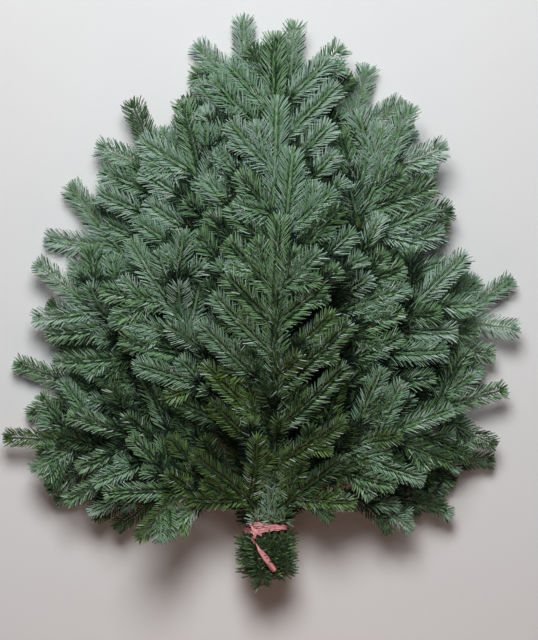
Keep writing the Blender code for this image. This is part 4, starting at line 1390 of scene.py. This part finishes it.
def strand(points, widths, turns, tape, rise):
    """A loose length of tape, twisted where it starts and folded lengthwise where it lies open."""
    path = Path(points)
    shares = np.linspace(0, 1, STRAND_STEPS)
    spots, _, sides, ups = path.frames(shares)
    rows = np.linspace(-1, 1, STRAND_ROWS)
    lines = []
    for number, share in enumerate(shares):
        width = np.interp(share, np.linspace(0, 1, len(widths)), widths) * (1 + 0.08 * math.sin(23 * share))
        twist = turns * 2 * math.pi * max(0.0, 1 - share * 2.2) ** 1.4 + 0.35 * math.sin(5 * share)
        wide = sides[number] * math.cos(twist) + ups[number] * math.sin(twist)
        out = ups[number] * math.cos(twist) - sides[number] * math.sin(twist)
        crease = tape.crease * (0.9 + 0.5 * math.sin(7 * share))
        arch = rise * math.sin(math.pi * share)
        lines.append([spots[number] + wide * row * width / 2 + out * (crease * math.cos(4.2 * row))
                      + ups[number] * (arch + 0.0003 * math.sin(9 * share + 4 * row)) for row in rows])
    vertices, faces = ribbon(lines, tape.thickness, False)
    return vertices + shift_to_frame(), faces


class FIR_OT_tape(bpy.types.Operator):
    """Wind the tie tape round the boughs, with its knot and the strand over the butt"""
    bl_idname = "fir.tape"
    bl_label = "Tie tape"

    def execute(self, context):
        tape = context.scene.fir_tape
        materials = [surface("tape"), surface("tape_fold")]
        radius = TIE_RADIUS + TAPE_GAP
        outer = radius + TAPE_THICK + TAPE_GAP
        for name, node, reach, turn in (("tape_band", "tie_band", radius, BAND),
                                        ("tape_wrap", "tie_wrap", outer, WRAP)):
            *shape, marks = winding(reach, turn, tape)
            placed(mesh_object(name, *shape, materials, marks, True), "tie_tape", node)
        top = seat(len(ROW_SEATS) - 1, 0)[2] + STRAND_RISE + STRAND_LIFT
        points = bezier([(x, y, top) for x, y in STRAND], STRAND_CURVE)
        loose = strand(points, STRAND_WIDTHS, STRAND_TURNS, tape, STRAND_ARCH)
        marks = folds(loose[1], 0, STRAND_ROWS)
        placed(mesh_object("tape_strand", *loose, materials, marks, True), "tie_tape", "tie_strand")
        bends = [bezier([(x, y, top - KNOT_DROP + rise) for x, y, rise in loop], KNOT_CURVE)
                 for loop in KNOT_LOOPS]
        knot = [strand(bend, KNOT_WIDTHS, KNOT_TURNS, tape, KNOT_ARCH) for bend in bends]
        placed(mesh_object("tape_knot", *joined(knot), materials[:1], smooth=True), "tie_tape")
        return {"FINISHED"}


# The lights: place, size and colour
WINDOW = ((-0.07, 1.15, 2.00), 1.15, (0.985, 0.995, 1.0))
WARM_ROOM = ((0.05, -1.3, 0.55), 0.9, (1.0, 0.52, 0.34))
LIT_SPOT = Vector((0, 0.05, 0.05))
SKY = (0.95, 0.98, 1.0, 1)


class FIR_OT_stage(bpy.types.Operator):
    """Lay the pale floor, and set the lights and the camera"""
    bl_idname = "fir.stage"
    bl_label = "Floor, lights and camera"

    def execute(self, context):
        stage = context.scene.fir_stage
        half = stage.floor_size / 2
        corners = [(-half, -half, 0), (half, -half, 0), (half, half, 0), (-half, half, 0)]
        floor = mesh_object("floor", corners, [(0, 1, 2, 3)], [surface("floor_colour", "fir_stage")])
        self.light("window", *WINDOW, stage.key_power)
        self.light("warm_room", *WARM_ROOM, stage.warm_power)
        world = bpy.data.worlds.new("room_light")
        world.use_nodes = True
        sky = world.node_tree.nodes["Background"]
        sky.inputs["Color"].default_value = SKY
        sky.inputs["Strength"].default_value = stage.fill_strength
        context.scene.world = world
        context.scene.view_settings.view_transform = "Standard"
        context.scene.view_settings.look = "Medium High Contrast"
        self.camera(context, stage.camera_height)
        return {"FINISHED"}

    def light(self, name, place, size, colour, power):
        data = bpy.data.lights.new(name, "AREA")
        data.shape = "DISK"
        data.size = size
        data.energy = power
        data.color = colour
        lamp = bpy.data.objects.new(name, data)
        lamp.location = place
        lamp.rotation_euler = (LIT_SPOT - lamp.location).to_track_quat("-Z", "Y").to_euler()
        bpy.context.scene.collection.objects.link(lamp)

    def camera(self, context, height):
        """Straight down on the middle of the photograph, with its scale at the height of the tie."""
        width, tall = PHOTO_SIZE
        x = (width / 2 - PHOTO_TIE[0]) * PHOTO_SCALE
        y = (PHOTO_TIE[1] - tall / 2) * PHOTO_SCALE
        data = bpy.data.cameras.new("camera")
        data.lens = data.sensor_width / 2 * (height - TIE_HEIGHT) / (tall / 2 * PHOTO_SCALE)
        camera = bpy.data.objects.new("camera", data)
        camera.location = shift_to_frame() * (1, 1, 0) + np.array((x, y, height))
        context.scene.collection.objects.link(camera)
        context.scene.camera = camera


STEPS = (FIR_OT_stems, FIR_OT_cut_ends, FIR_OT_shoots, FIR_OT_buds, FIR_OT_needles, FIR_OT_tape,
         FIR_OT_stage)


class FIR_PT_bundle(bpy.types.Panel):
    """Settings and steps of the fir bundle"""
    bl_idname = "FIR_PT_bundle"
    bl_label = "Fir bundle"
    bl_space_type = "VIEW_3D"
    bl_region_type = "UI"
    bl_category = "Fir bundle"

    def draw(self, context):
        for name, group in SETTINGS:
            box = self.layout.box()
            box.label(text=group.__doc__)
            for label in group.__annotations__:
                box.prop(getattr(context.scene, name), label)
        for step in STEPS:
            self.layout.operator(step.bl_idname)


def register():
    for group in [entry[1] for entry in SETTINGS] + list(STEPS) + [FIR_PT_bundle]:
        bpy.utils.register_class(group)
    for name, group in SETTINGS:
        setattr(bpy.types.Scene, name, PointerProperty(type=group))


def unregister():
    for name, _ in SETTINGS:
        delattr(bpy.types.Scene, name)
    for group in [FIR_PT_bundle] + list(reversed(STEPS)) + [entry[1] for entry in reversed(SETTINGS)]:
        bpy.utils.unregister_class(group)


def main():
    register()
    bpy.ops.fir.stems()
    bpy.ops.fir.cut_ends()
    bpy.ops.fir.shoots()
    bpy.ops.fir.buds()
    bpy.ops.fir.needles()
    bpy.ops.fir.tape()
    bpy.ops.fir.stage()


if __name__ == "__main__":
    main()
